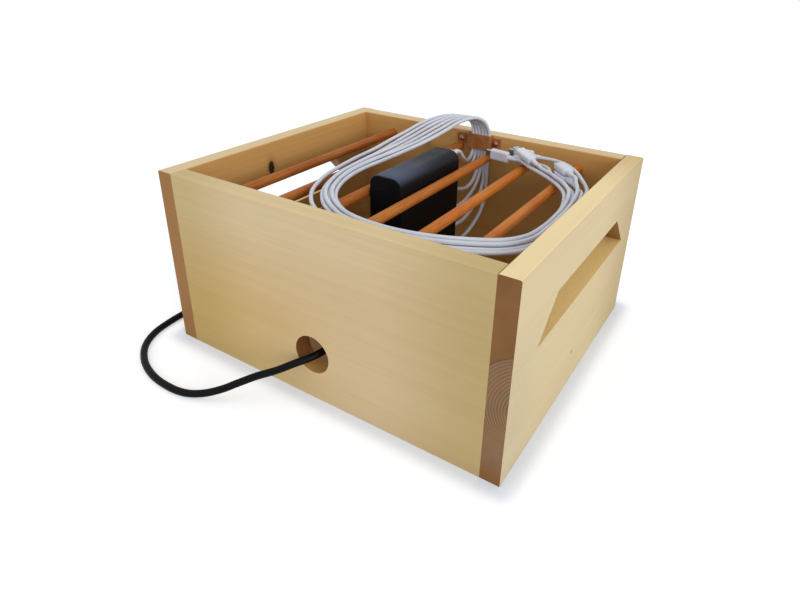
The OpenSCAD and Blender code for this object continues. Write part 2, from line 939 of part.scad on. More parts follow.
// Coil of four loops: two spiral in on the table, two spiral out on top,
// with a band round its bundle
tie_wall = 0.7;
tie_width = 6;
tie_room = 0.25;
coil_loops = 4;
coil_rings = 24;
coil_sides = 6;
coil_outer = 46;
coil_pitch = 7.8;
coil_rise = 7.6;
coil_low = lead_diameter / 2 + tie_room + tie_wall;
coil_middle = [-215 - coil_outer, -20];
coil_turn = 360 * coil_loops;
wall_plug_end = [-212, 54, wall_plug_diameter / 2];

LEAD = [
    [0, -92, 60],
    [0, -101, 59.5],
    [1, -117, 56.5],
    [0.5, -131, 51],
    [-3.5, -144, 43.5],
    [-9.5, -156, 40.2],
    [-18.5, -168, 37.2],
    [-31, -179, 31],
    [-45, -189.5, 25.5],
    [-58.5, -201, 19],
    [-70, -210, 13],
    [-85, -219, 7.5],
    [-102, -225.5, 4.4],
    [-122, -228, lead_low],
    [-148, -226, lead_low],
    [-174, -217, lead_low],
    [-196, -201, lead_low],
    [-209, -180, lead_low],
    [-214, -154, lead_low],
    [-215, -125, lead_low],
    [-215, -95, lead_low],
    [-215, -60, 4],
    [-215, -36, coil_low],
    [-215, -28, coil_low],
];

lead_sides = 8;
lead_steps = 3;

module mains_lead() {
    color(cord_black)
        tube(smooth(LEAD, lead_steps), lead_diameter, lead_sides);
}

function coil_point(a) = let (
    half = coil_turn / 2,
    in = a < half ? a : coil_turn - a,
    r = coil_outer - coil_pitch * in / 360,
    climb = min(max((a - half + 90) / 180, 0), 1)
) [coil_middle[0] + r * cos(a), coil_middle[1] + r * sin(a), coil_low + coil_rise * climb];

COIL_START = [[-215, -28, coil_low], [-215, -21, coil_low]];
COIL_END = [
    [-215, -12, coil_low + coil_rise],
    [-214.5, 2, 13],
    [-213.5, 20, 15.8],
    [-212.5, 36, 18],
    wall_plug_end - [0, 8, 0],
    wall_plug_end,
];
coil_points = concat(
    COIL_START,
    [for (k = [1 : coil_loops * coil_rings - 1]) coil_point(360 * k / coil_rings)],
    smooth(COIL_END, 2)
);

// Least gap between the coil's own points that lie more than half a loop apart
coil_gap = min([
    for (i = [0 : len(coil_points) - 1])
        for (k = [i + coil_rings / 2 : 1 : len(coil_points) - 1])
            norm(coil_points[i] - coil_points[k])
]) - lead_diameter;

module mains_coil() {
    echo(coil_least_gap = coil_gap);
    color(cord_black)
        tube(coil_points, lead_diameter, coil_sides);
}

// Band round the coil's bundle on the side away from the box
module coil_tie() {
    w = coil_pitch + lead_diameter + 2 * tie_room;
    h = coil_rise + lead_diameter + 2 * tie_room;
    color("#2A2A2E")
        translate([coil_middle[0] - coil_outer + coil_pitch, coil_middle[1], coil_low + coil_rise / 2])
            rotate([90, 0, 0])
                linear_extrude(tie_width, center = true)
                    difference() {
                        rounded_rect(w + 2 * tie_wall, h + 2 * tie_wall, 2.6 + tie_wall);
                        rounded_rect(w, h, 2.6);
                    }
}

wall_plug_relief = 18;
wall_plug_grip = 16;
wall_plug_body_length = 20;
wall_plug_reach = wall_plug_relief + wall_plug_grip + wall_plug_body_length;
pin_gap = 19;
wall_pin_length = 19;
wall_pin_diameter = 4.8;

// Round earthed plug with two side notches for the earth springs
module wall_plug_body() {
    r = wall_plug_diameter / 2;
    color(cord_black)
        translate(wall_plug_end)
            rotate([-90, 0, 0])
                difference() {
                    union() {
                        cylinder(h = wall_plug_relief, r1 = lead_diameter / 2 + 0.4, r2 = 7);
                        translate([0, 0, wall_plug_relief])
                            cylinder(h = wall_plug_grip, r1 = 9, r2 = r - 2);
                        translate([0, 0, wall_plug_relief + wall_plug_grip])
                            cylinder(h = wall_plug_body_length - 1, r = r);
                        translate([0, 0, wall_plug_reach - 1])
                            cylinder(h = 1, r1 = r, r2 = r - 1);
                    }
                    for (s = [-1, 1])
                        translate([s * (r + 1), 0, wall_plug_reach - 15])
                            translate([-3, -3.5, 0])
                                cube([6, 7, 16]);
                    for (s = [-1, 1])
                        translate([0, s * pin_gap / 2, wall_plug_reach - 8])
                            cylinder(h = 9, d = wall_pin_diameter);
                }
}

module wall_plug_pins() {
    color(steel)
        translate(wall_plug_end)
            rotate([-90, 0, 0])
                for (s = [-1, 1])
                    translate([0, s * pin_gap / 2, wall_plug_reach - 8]) {
                        cylinder(h = 8 + wall_pin_length - 1, d = wall_pin_diameter - 0.02);
                        translate([0, 0, 8 + wall_pin_length - 1])
                            cylinder(h = 1, d1 = wall_pin_diameter - 0.02, d2 = wall_pin_diameter - 1.6);
                    }
}

front_panel();
back_panel();
left_panel();
right_panel();
floor_panel();
corner_dowels();
divider_dowel(1);  // divider_dowel_1
divider_dowel(2);  // divider_dowel_2
divider_dowel(3);  // divider_dowel_3
divider_dowel(4);  // divider_dowel_4
divider_dowel(5);  // divider_dowel_5
divider_dowel(6);  // divider_dowel_6
cable_strap();
strap_screws();
strap_washers();
charger_sleeve();
charger_inlet_end();
charger_port_end();
charger_inlet();
charger_inlet_pins();
charger_main_board();
charger_port_board();
charger_components();
usb_sockets();
charger_light();
charger_plug(1);  // charger_plug_1
charger_plug(2);  // charger_plug_2
charger_plug(3);  // charger_plug_3
charger_plug(4);  // charger_plug_4
charger_plug(5);  // charger_plug_5
charger_plug(6);  // charger_plug_6
charger_plug_shells();
charge_cable(1);  // charge_cable_1
charge_cable(2);  // charge_cable_2
charge_cable(3);  // charge_cable_3
charge_cable(4);  // charge_cable_4
charge_cable(5);  // charge_cable_5
charge_cable(6);  // charge_cable_6
laptop_plug(1);  // laptop_plug_1
laptop_plug(2);  // laptop_plug_2
laptop_plug(3);  // laptop_plug_3
laptop_plug(4);  // laptop_plug_4
laptop_plug(5);  // laptop_plug_5
laptop_plug(6);  // laptop_plug_6
laptop_plug_shells();
inlet_connector();
mains_lead();
mains_coil();
coil_tie();
wall_plug_body();
wall_plug_pins();
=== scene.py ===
"""Laptop charging box: an open pine box with six divider dowels, a standing
charger whose six charge cables lie in a loop on the dowels, and a mains cord
that leaves through the front board.

Metres. The front board faces -Y, +Z is up, the origin is the middle of the
box's underside. The solids that carry the box come from the frame.
"""

import math

import bmesh
import bpy
import numpy as np
from mathutils import Matrix, Vector


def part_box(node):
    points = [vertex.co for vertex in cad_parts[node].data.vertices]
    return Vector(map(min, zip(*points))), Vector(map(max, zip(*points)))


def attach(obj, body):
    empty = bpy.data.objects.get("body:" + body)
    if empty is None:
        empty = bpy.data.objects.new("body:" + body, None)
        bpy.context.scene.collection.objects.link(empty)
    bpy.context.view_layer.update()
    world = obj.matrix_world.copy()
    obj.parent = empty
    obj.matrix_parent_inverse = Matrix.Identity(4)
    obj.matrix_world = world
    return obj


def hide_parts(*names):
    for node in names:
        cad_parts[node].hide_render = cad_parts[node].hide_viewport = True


bl_info = {
    "name": "Laptop charging box",
    "version": (1, 0, 0),
    "blender": (4, 5, 0),
    "location": "3D View > Sidebar > Charging Box",
    "description": "Dresses the box, its dowels, charger, cables and mains cord",
    "category": "Object",
}

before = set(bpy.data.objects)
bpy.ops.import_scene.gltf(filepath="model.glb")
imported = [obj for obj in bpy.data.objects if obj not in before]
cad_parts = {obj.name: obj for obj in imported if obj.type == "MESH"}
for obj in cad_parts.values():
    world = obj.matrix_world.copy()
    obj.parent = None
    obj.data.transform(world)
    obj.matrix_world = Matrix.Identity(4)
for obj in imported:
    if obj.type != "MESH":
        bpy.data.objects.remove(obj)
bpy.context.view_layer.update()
ROOT = "root"
LANES = 6
DOWELS = 6


def linear(code):
    """Linear colour of a hexadecimal one, by the sRGB curve, with a full alpha"""
    parts = [int(code[k:k + 2], 16) / 255 for k in (1, 3, 5)]
    return (*(v / 12.92 if v <= 0.04045 else ((v + 0.055) / 1.055) ** 2.4 for v in parts), 1.0)


# Routes, whose tables are in millimetres

MM = 0.001

# Stations of the six charge cables from the strap round the loop: place of
# the innermost cable, way to the outermost one, the outermost cable's gap as
# a share of that way, and the rise of every second cable
STATIONS = (
    ((14, 139.5, 183), (-20.5, 0, 0), 0.2, 0),
    ((13.5, 137.5, 191), (-21.5, 3.5, -1.5), 0.2, 0),
    ((10.5, 131.5, 201.5), (-24.5, 12, -4.5), 0.2, 0),
    ((4, 124, 206.5), (-29.5, 17, -5.5), 0.2, 0),
    ((-3, 115, 206), (-35.5, 17, -4.5), 0.2, 0),
    ((-10, 105, 202.5), (-39, 14, -3.2), 0.2, 0),
    ((-17, 95.5, 196.5), (-42, 8, -2.2), 0.2, 0),
    ((-24, 80, 190.5), (-42.5, 6, -3), 0.2, 0),
    ((-30.5, 60, 185.5), (-40.5, 3, -2.5), 0.25, 0),
    ((-37, 34, 181.5), (-36.5, 0, -3), 0.3, 1.5),
    ((-43, 6, 178.5), (-32.5, -3, -2.5), 0.4, 3),
    ((-47.5, -20, 176.5), (-27.5, -5, -2.5), 0.45, 3),
    ((-47.5, -43, 175), (-24, -6, -1.5), 0.45, 3),
    ((-43, -63, 174), (-21, -10, -1), 0.45, 3),
    ((-35, -81, 173), (-17, -15, 0), 0.45, 3),
    ((-23, -96, 172.4), (-11.5, -19.5, 0), 0.45, 3),
    ((-7, -108.5, 172.3), (-6.5, -20.5, 0), 0.42, 3),
    ((12, -117.5, 172.3), (-2.5, -19, 0), 0.3, 3),
    ((36, -121.8, 172.3), (0, -17.6, 0), 0.26, 3),
    ((64, -121, 172.3), (0, -18, 0), 0.26, 3),
    ((92, -114, 172.3), (3, -19.5, 0), 0.26, 3),
    ((117, -103, 172.3), (8, -18, 0), 0.26, 3),
    ((137, -87, 171), (13, -14.5, 0), 0.26, 3),
    ((148, -67, 169.5), (14.5, -8, 0), 0.26, 3.2),
    ((152, -43, 168.5), (12.6, -3, 0), 0.34, 3.65),
    ((152.4, -18, 168.5), (12.6, 0, 0), 0.34, 3.65),
    ((150.5, 12, 169.5), (14, 3, 1), 0.3, 3.6),
    ((143, 38, 172), (17.5, 11, 1), 0.22, 3),
)

# Last points of each cable before its laptop plug
TAILS = [MM * np.array(points) for points in (
    ((156.5, 62, 174), (147.5, 77, 175), (136, 93, 176.5), (122.5, 107, 177.3), (107.5, 116, 177)),
    ((150, 55, 173.5),),
    ((147, 57, 179.5),),
    ((138, 57.5, 173), (123, 70.5, 173.4), (111.5, 84.5, 173.7), (106, 94.5, 173.9)),
    ((136, 53.5, 177.5), (124.5, 65, 177.3), (113, 76.5, 176.7)),
    ((131.5, 54.5, 173), (116, 70, 172.8), (101.5, 82, 172.5), (87, 90.5, 173.2)),
)]

# Laptop plugs as they lie: place of the cable end, then heading, pitch and
# roll in degrees
PLUGS = [(MM * np.array(end), *turns) for end, *turns in (
    ((87, 119, 176.5), 180, 0, 90),
    ((141, 66, 173.8), 134, 0, 0),
    ((139, 69, 181.4), 134, 0, 0),
    ((91.5, 102, 174), 168, 0, 0),
    ((95.8, 88.2, 178), 155, 15, 0),
    ((67.3, 96.4, 176.5), 172, 0, 90),
)]

# Mains cord from the charger's connector through the hole to the coil
LEAD = MM * np.array((
    (0, -92, 60), (0, -101, 59.5), (1, -117, 56.5), (0.5, -131, 51),
    (-3.5, -144, 43.5), (-9.5, -156, 40.2), (-18.5, -168, 37.2), (-31, -179, 31),
    (-45, -189.5, 25.5), (-58.5, -201, 19), (-70, -210, 13), (-85, -219, 7.5),
    (-102, -225.5, 4.4), (-122, -228, 3.6), (-148, -226, 3.6), (-174, -217, 3.6),
    (-196, -201, 3.6), (-209, -180, 3.6), (-214, -154, 3.6), (-215, -125, 3.6),
    (-215, -95, 3.6), (-215, -60, 4), (-215, -36, 4.45), (-215, -28, 4.45),
))

# Way from the coil's last loop to the wall plug
COIL_END = MM * np.array((
    (-215, -12, 12.05), (-214.5, 2, 13), (-213.5, 20, 15.8),
    (-212.5, 36, 18), (-212, 46, 18.5), (-212, 54, 18.5),
))

# Heights of each cable above its port on its way to the back board, and in
# metres the distances from the cables' plane there, with the shares of the way
# to its lane
RISES = MM * np.array((
    (-3, -12, -19, -21.5, -19.5, -14.5, -9),
    (-1, -3.5, -5.5, -5, -0.5, 6, 13),
    (-1.5, -4.5, -5, -1.5, 6, 14.5, 24),
    (0, 1.5, 6.5, 15, 26, 37, 49),
    (0, 2, 9, 20, 33, 45, 58),
    (0, 2.5, 11, 24, 38, 51, 65),
))
RISE_WAY = ((0.0447, 0), (0.0337, 0.25), (0.0227, 0.55), (0.0127, 0.85), (0.0052, 1), (0.0008, 1), (0, 1))

# Sizes of the cables and of the lanes that they lie in on the back board
CABLE_DIAMETER = 0.004
CABLE_STEPS = 8
CABLE_SIDES = 14
LANE_PITCH = 0.0041
LANE_MIDDLE = 0.004
STRAP_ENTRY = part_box("cable_strap")[0].z + 0.005
UPRIGHT_STEP = 0.022
COUNT_MARGIN = 1e-6
LANE_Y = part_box("back_panel")[0].y - CABLE_DIAMETER / 2 - 0.0003

# Straight run of a cable into its laptop plug
PLUG_RUN = 0.007

# Sizes of the mains cord and its coil
CORD_DIAMETER = 0.007
CORD_STEPS = 6
COIL_END_STEPS = 4
CORD_SIDES = 18
COIL_LOOPS = 4
COIL_RINGS = 48
COIL_OUTER = 0.046
COIL_PITCH = 0.0078
COIL_RISE = 0.0076
COIL_LOW = LEAD[-1][2]
COIL_MIDDLE = (LEAD[-1][0] - COIL_OUTER, -0.02)


def smooth(points, steps):
    """Catmull-Rom curve through the points: on each span a cubic whose slope
    at both ends is half the way between the neighbouring points"""
    p = np.asarray(points, float)
    q = np.vstack([2 * p[0] - p[1], p, 2 * p[-1] - p[-2]])
    t = (np.arange(steps) / steps)[None, :, None]
    a, b, c, d = (q[k:len(q) - 3 + k, None, :] for k in range(4))
    spans = 0.5 * (2 * b + (c - a) * t + (2 * a - 5 * b + 4 * c - d) * t ** 2
                   + (3 * b - a - 3 * c + d) * t ** 3)
    return np.vstack([spans.reshape(-1, 3), p[-1:]])


def lane_place(station, lane):
    """Place of a cable at a station: the innermost cable's place plus its
    share of the way to the outermost one, every second cable raised"""
    base, way, gap, rise = station
    share = 1 if lane == LANES - 1 else lane / (LANES - 2) * (1 - gap)
    lift = rise if lane % 2 == 1 and lane < LANES - 1 else 0
    return MM * (np.array(base) + share * np.array(way) + np.array((0, 0, lift)))


def lay_of(end, yaw, pitch=0, roll=0):
    """Map from a piece's own axes, X along it, to the frame: a roll about X, a
    rise of X by the pitch, a turn about Z by yaw and a move to end, in degrees"""
    turn = Matrix.Rotation(math.radians(yaw), 3, "Z") @ Matrix.Rotation(math.radians(-pitch), 3, "Y")
    turn = np.array(turn @ Matrix.Rotation(math.radians(roll), 3, "X")).T
    return lambda points: points @ turn + end


def cable_route(i):
    """Points of charge cable i: out of its charger plug, up the back board,
    under the strap, round the loop and into its laptop plug"""
    low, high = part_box(f"charger_plug_{i}")
    y, z = high.y, (low.z + high.z) / 2
    x = LANE_MIDDLE + LANE_PITCH * (i - (LANES + 1) / 2)
    rise = [(0, y, z)]
    rise += [(share * x, LANE_Y - back, z + up) for (back, share), up in zip(RISE_WAY, RISES[i - 1])]
    start = rise[-1][2]
    count = max(math.ceil((STRAP_ENTRY - start) / UPRIGHT_STEP - COUNT_MARGIN), 1)
    upright = [(x, LANE_Y, start + (STRAP_ENTRY - start) * k / count) for k in range(1, count + 1)]
    loop = [lane_place(s, LANES - i) for s in STATIONS]
    end, *turns = PLUGS[i - 1]
    finish = [lay_of(end, *turns)(np.array((-PLUG_RUN, 0, 0))), end]
    return smooth([*rise, *upright, *loop, *TAILS[i - 1], *finish], CABLE_STEPS)


def cord_route():
    """Points of the mains cord: the chosen route, four loops that spiral in on
    the table and out again on top, and the way to the wall plug. The radius
    falls and grows by a pitch a turn, and the cord climbs a layer in the half
    turn where the spiral reverses."""
    turn = 2 * math.pi
    a = turn * np.arange(1, COIL_LOOPS * COIL_RINGS) / COIL_RINGS
    half = turn * COIL_LOOPS / 2
    inward = np.where(a < half, a, 2 * half - a)
    radius = COIL_OUTER - COIL_PITCH * inward / turn
    climb = np.clip((a - half + math.pi / 2) / math.pi, 0, 1)
    coil = np.stack([
        COIL_MIDDLE[0] + radius * np.cos(a),
        COIL_MIDDLE[1] + radius * np.sin(a),
        COIL_LOW + COIL_RISE * climb,
    ], axis=1)
    start = [(LEAD[-1][0], COIL_MIDDLE[1] - MM, COIL_LOW)]
    return np.vstack([smooth(LEAD, CORD_STEPS), start, coil, smooth(COIL_END, COIL_END_STEPS)])


# Meshes


def new_object(name, mesh):
    """Object at the origin with this mesh, shaded smooth"""
    mesh.polygons.foreach_set("use_smooth", np.ones(len(mesh.polygons), bool))
    mesh.update()
    piece = bpy.data.objects.new(name, mesh)
    bpy.context.scene.collection.objects.link(piece)
    return piece


def mesh_object(name, points, faces):
    """New object with these points and faces"""
    mesh = bpy.data.meshes.new(name)
    mesh.from_pydata(points, [], faces)
    return new_object(name, mesh)


def grid_faces(rows, columns):
    """Quads between neighbouring rows of a grid whose columns close in a ring"""
    r = np.arange(rows - 1)[:, None] * columns
    k = np.arange(columns)
    after = (k + 1) % columns
    quads = np.stack(np.broadcast_arrays(r + k, r + after, r + columns + after, r + columns + k), axis=2)
    return quads.reshape(-1, 4).tolist()


def capped(rings):
    """Points and faces of a tube given as rings of points, closed by a fan to
    the middle of its first and of its last ring"""
    rows, columns = rings.shape[:2]
    points = np.vstack([rings.reshape(-1, 3), rings[0].mean(0), rings[-1].mean(0)])
    faces = grid_faces(rows, columns)
    first, last = rows * columns, rows * columns + 1
    base = (rows - 1) * columns
    for k in range(columns):
        after = (k + 1) % columns
        faces += [[after, k, first], [base + k, base + after, last]]
    return points.tolist(), faces


def path_frames(path):
    """Unit tangent and two unit normals at each point of a path. The first
    normal is carried along and made square to each new tangent, so the tube
    doesn't twist."""
    ahead = np.vstack([path[1:], 2 * path[-1] - path[-2]])
    behind = np.vstack([2 * path[0] - path[1], path[:-1]])
    tangent = ahead - behind
    tangent /= np.linalg.norm(tangent, axis=1)[:, None]
    normal = np.empty_like(path)
    carried = np.array((0.1, 0.2, 1.0))
    for k, t in enumerate(tangent):
        carried = carried - (carried @ t) * t
        carried /= np.linalg.norm(carried)
        normal[k] = carried
    return tangent, normal, np.cross(tangent, normal)


def tube(name, path, radius, sides):
    """Round tube: each ring is the path's point plus the radius times the
    cosine and sine of the angle along the point's two normals"""
    _, u, v = path_frames(path)
    angle = 2 * math.pi * np.arange(sides) / sides
    rings = path[:, None, :] + radius * (
        u[:, None, :] * np.cos(angle)[None, :, None] + v[:, None, :] * np.sin(angle)[None, :, None])
    return mesh_object(name, *capped(rings))


def outline(half_width, half_height, corner, sides):
    """Rounded rectangle round the origin as a function of the angle: the
    corner's circle moved out by what each half side is longer than it"""
    angle = 2 * math.pi * (np.arange(sides) + 0.5) / sides
    c, s = np.cos(angle), np.sin(angle)
    return np.stack([
        np.sign(c) * (half_width - corner) + corner * c,
        np.sign(s) * (half_height - corner) + corner * s,
    ], axis=1)


def loft(name, sections, place, sides=32):
    """Body through rounded rectangles: each section is the distance along the
    axis, the half width, the half height and the corner radius. place maps
    the points, whose axis is X, into the frame."""
    rings = [np.column_stack([np.full(sides, x), outline(*shape, sides)]) for x, *shape in sections]
    return mesh_object(name, *capped(place(np.array(rings))))


# How the edges of the CAD solids are rounded
MERGE_DISTANCE = 2e-6
FLAT_ANGLE = math.radians(0.3)
SHARP_ANGLE = math.radians(35)
BEVEL_SEGMENTS = 3


def weighted(piece):
    """Shades large flat faces flat and their rounded rims smooth"""
    piece.modifiers.new("weighted_normals", "WEIGHTED_NORMAL").keep_sharp = True
    return piece


def softened(name, node, width):
    """Copy of a CAD node with rounded edges: its loose triangles are merged,
    flat faces dissolved, and its sharp edges bevelled by width"""
    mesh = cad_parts[node].data.copy()
    mesh.name = name
    mesh.materials.clear()
    form = bmesh.new()
    form.from_mesh(mesh)
    bmesh.ops.remove_doubles(form, verts=form.verts, dist=MERGE_DISTANCE)
    bmesh.ops.dissolve_limit(form, angle_limit=FLAT_ANGLE, verts=form.verts, edges=form.edges)
    form.to_mesh(mesh)
    form.free()
    for attribute in [a for a in mesh.attributes if a.name == "custom_normal"]:
        mesh.attributes.remove(attribute)
    piece = new_object(name, mesh)
    bevel = piece.modifiers.new("rounded_edges", "BEVEL")
    bevel.width = width
    bevel.segments = BEVEL_SEGMENTS
    bevel.limit_method = "ANGLE"
    bevel.angle_limit = SHARP_ANGLE
    bevel.use_clamp_overlap = True
    return weighted(piece)


def paint(piece, material):
    """Gives a piece or a carried-over CAD node its only material"""
    piece.data.materials.clear()
    piece.data.materials.append(material)


def dress(piece, material, slot, *nodes):
    """Gives a piece its material and its body, and puts it in the place of CAD
    nodes. slot is not used."""
    paint(piece, material)
    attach(piece, ROOT)
    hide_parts(*nodes)
    return piece


def cover(name, node, width, material, slot):
    """Puts a dressed copy with rounded edges in the place of a CAD node"""
    return dress(softened(name, node, width), material, slot, node)


# Node trees


class Nodes:
    """Short calls that add and link the nodes of one tree"""

    def __init__(self, tree):
        self.tree = tree

    def add(self, kind, inputs=None, **settings):
        """Adds a node, sets its settings and gives its inputs a value or a link"""
        node = self.tree.nodes.new(kind)
        for key, value in settings.items():
            setattr(node, key, value)
        for key, value in (inputs or {}).items():
            self.feed(node.inputs[key], value)
        return node

    def feed(self, socket, value):
        """Links a socket to the value, or writes the value into it"""
        if isinstance(value, bpy.types.NodeSocket):
            self.tree.links.new(value, socket)
        else:
            socket.default_value = value

    def math(self, operation, a, b=0):
        """Result of an operation on one or two values"""
        return self.add("ShaderNodeMath", {0: a, 1: b}, operation=operation).outputs[0]

    def times(self, product, *more):
        """Product of the values"""
        for value in more:
            product = self.math("MULTIPLY", product, value)
        return product

    def away(self, value, middle=0):
        """Distance of a value from a middle one"""
        return self.math("ABSOLUTE", self.math("SUBTRACT", value, middle))

    def vector(self, operation, a, b=(0, 0, 0), output=0):
        """Result of an operation on one or two vectors"""
        return self.add("ShaderNodeVectorMath", {0: a, 1: b}, operation=operation).outputs[output]

    def axes(self, vector):
        """The three parts of a vector"""
        return self.add("ShaderNodeSeparateXYZ", {0: vector}).outputs

    def ramp(self, value, low, high, to_low=0, to_high=1):
        """Smooth step of a value between two limits"""
        return self.add(
            "ShaderNodeMapRange",
            {"Value": value, "From Min": low, "From Max": high, "To Min": to_low, "To Max": to_high},
            interpolation_type="SMOOTHSTEP",
        ).outputs["Result"]

    def blend(self, share, a, b, mode="MIX"):
        """Mix of two colours"""
        node = self.add("ShaderNodeMix", data_type="RGBA", blend_type=mode)
        colours = [s for s in node.inputs if s.type == "RGBA"]
        self.feed(node.inputs[0], share)
        self.feed(colours[0], a)
        self.feed(colours[1], b)
        return next(s for s in node.outputs if s.type == "RGBA")

    def tint(self, colour, shade, share=1):
        """Colour that is multiplied by a shade, by a share"""
        return self.blend(share, colour, (*shade[:3], 1), "MULTIPLY")

    def noise(self, vector, scale, detail=2, roughness=0.5):
        return self.add(
            "ShaderNodeTexNoise",
            {"Vector": vector, "Scale": scale, "Detail": detail, "Roughness": roughness},
        ).outputs[0]

    def bump(self, height, strength, distance):
        return self.add(
            "ShaderNodeBump", {"Height": height, "Strength": strength, "Distance": distance}
        ).outputs[0]

    def group(self, tree, inputs):
        return self.add("ShaderNodeGroup", inputs, node_tree=tree).outputs

    def surface(self, inputs):
        """Principled shader with these inputs, as the material's surface"""
        shader = self.add("ShaderNodeBsdfPrincipled", inputs)
        self.add("ShaderNodeOutputMaterial", {"Surface": shader.outputs[0]})


def group_tree(name, inputs, outputs):
    """Empty node group: its inputs with their defaults, vectors or numbers,
    and the names of its outputs, which are numbers"""
    tree = bpy.data.node_groups.new(name, "ShaderNodeTree")
    for label, value in inputs.items():
        kind = "NodeSocketVector" if isinstance(value, tuple) else "NodeSocketFloat"
        tree.interface.new_socket(label, in_out="INPUT", socket_type=kind).default_value = value
    for label in outputs:
        tree.interface.new_socket(label, in_out="OUTPUT", socket_type="NodeSocketFloat")
    n = Nodes(tree)
    return tree, n, n.add("NodeGroupInput").outputs, n.add("NodeGroupOutput").inputs


ORIGIN = (0, 0, 0)


def wood_figure():
    """Figure of a board whose grain runs along X: annual rings round a pith,
    long fibres and broad patches"""
    tree, n, start, end = group_tree(
        "wood_figure", {"Vector": ORIGIN, "Pith": ORIGIN, "Ring Width": 0.004, "Wobble": 0.003},
        ("Late Wood", "Fibre", "Patch", "From Pith"))
    vector = start["Vector"]
    wave = n.noise(n.vector("MULTIPLY", vector, (3, 18, 18)), 1)
    wave = n.times(n.math("SUBTRACT", wave, 0.5), start["Wobble"])
    off = n.vector("MULTIPLY", n.vector("SUBTRACT", vector, start["Pith"]), (0, 1, 1))
    length = n.math("ADD", n.vector("LENGTH", off, output="Value"), wave)
    phase = n.math("FRACT", n.math("DIVIDE", length, start["Ring Width"]))
    grown = n.ramp(phase, 0.25, 0.88)
    cut = n.ramp(phase, 0.9, 0.99, 1, 0)
    season = n.ramp(n.noise(n.vector("MULTIPLY", vector, (1, 45, 45)), 1, 1), 0.3, 0.7, 0.45, 1)
    n.feed(end["Late Wood"], n.times(grown, cut, season))
    n.feed(end["Fibre"], n.noise(n.vector("MULTIPLY", vector, (9, 620, 620)), 1, 3, 0.6))
    n.feed(end["Patch"], n.noise(n.vector("MULTIPLY", vector, (3, 14, 14)), 1))
    n.feed(end["From Pith"], length)
    return tree


def fine_texture():
    """Moulded surface: fine dimples and a slow change of shade"""
    tree, n, start, end = group_tree("fine_texture", {"Vector": ORIGIN, "Scale": 2000}, ("Height", "Shade"))
    n.feed(end["Height"], n.noise(start["Vector"], start["Scale"], 2, 0.6))
    n.feed(end["Shade"], n.noise(start["Vector"], 35, 3, 0.55))
    return tree


def knot_mark():
    """Mask of an oval knot: one in its core, falling to zero at its size"""
    tree, n, start, end = group_tree(
        "knot_mark", {"Vector": ORIGIN, "Centre": ORIGIN, "Half Size": (0.005, 0.005, 0.005)}, ("Core", "Rim"))
    off = n.vector("DIVIDE", n.vector("SUBTRACT", start["Vector"], start["Centre"]), start["Half Size"])
    rough = n.times(n.math("SUBTRACT", n.noise(start["Vector"], 420), 0.5), 0.7)
    away = n.math("ADD", n.vector("LENGTH", off, output="Value"), rough)
    n.feed(end["Core"], n.ramp(away, 0.75, 1.05, 1, 0))
    n.feed(end["Rim"], n.ramp(away, 0.9, 2.4, 1, 0))
    return tree


BUILT = {}


def shared(build):
    """Node group or material that build makes, built once"""
    if build.__name__ not in BUILT:
        BUILT[build.__name__] = build()
    return BUILT[build.__name__]


def new_material(name):
    """Material with its Nodes helper and its coordinates"""
    material = bpy.data.materials.new(name)
    material.use_nodes = True
    material.node_tree.nodes.clear()
    n = Nodes(material.node_tree)
    coordinates = n.add("ShaderNodeTexCoord").outputs
    return material, n, coordinates["Object"], coordinates["Normal"]


GRAIN_ALONG_Y = (0, 0, -math.pi / 2)

# Where the inner faces' painted shade ends past their edges, and the handle
# slots' painted light and shade within theirs
INNER_FADE = (0.0004, 0.0008)
SLOT_FADE = (-0.0004, -0.0001)

# Middle height of the handle slots, half the height and length of the space
# round them, and pitch of the saw marks across their lower faces
SLOT_MIDDLE = 0.1205
SLOT_HALF_HEIGHT = 0.02
SLOT_HALF_LENGTH = 0.14
SAW_MARKS = 0.0031

# Height above which a face that looks up is a board's top edge, where rim paints light
TOP_EDGE = 0.18

# Reach of the cable hole's wall from its axis, the painted shade of its upper
# half, and the heights between which that painted shade grows
HOLE_REACH = 0.0198
HOLE_PAINTED_SHADE = (0.36, 0.25, 0.2, 1)
HOLE_PAINTED_SHADE_HEIGHTS = (0.029, 0.044)

# Heights between which the inner faces' painted shade lightens upwards, and
# those between which the rings below the pith appear on a cut end
INNER_HEIGHTS = (0.12, 0.168)
RING_HEIGHTS = (0.004, 0.03)

# Where the ringed heart of a cut end ends and its outermost ring begins, from
# the heart's radius
HEART_FADE = (-0.0004, 0)
OUTER_RING = (-0.0014, -0.0008)

# Thickness of two plies of the floor panel, and depth of the relief of wood
# and leather and of plastic and metal
TWO_PLIES = 0.0036
COARSE_RELIEF = 0.0002
FINE_RELIEF = 0.0001


def fade(n, value, half, widths):
    """Mask that ends by the widths past half"""
    return n.ramp(value, half + widths[0], half + widths[1], 1, 0)


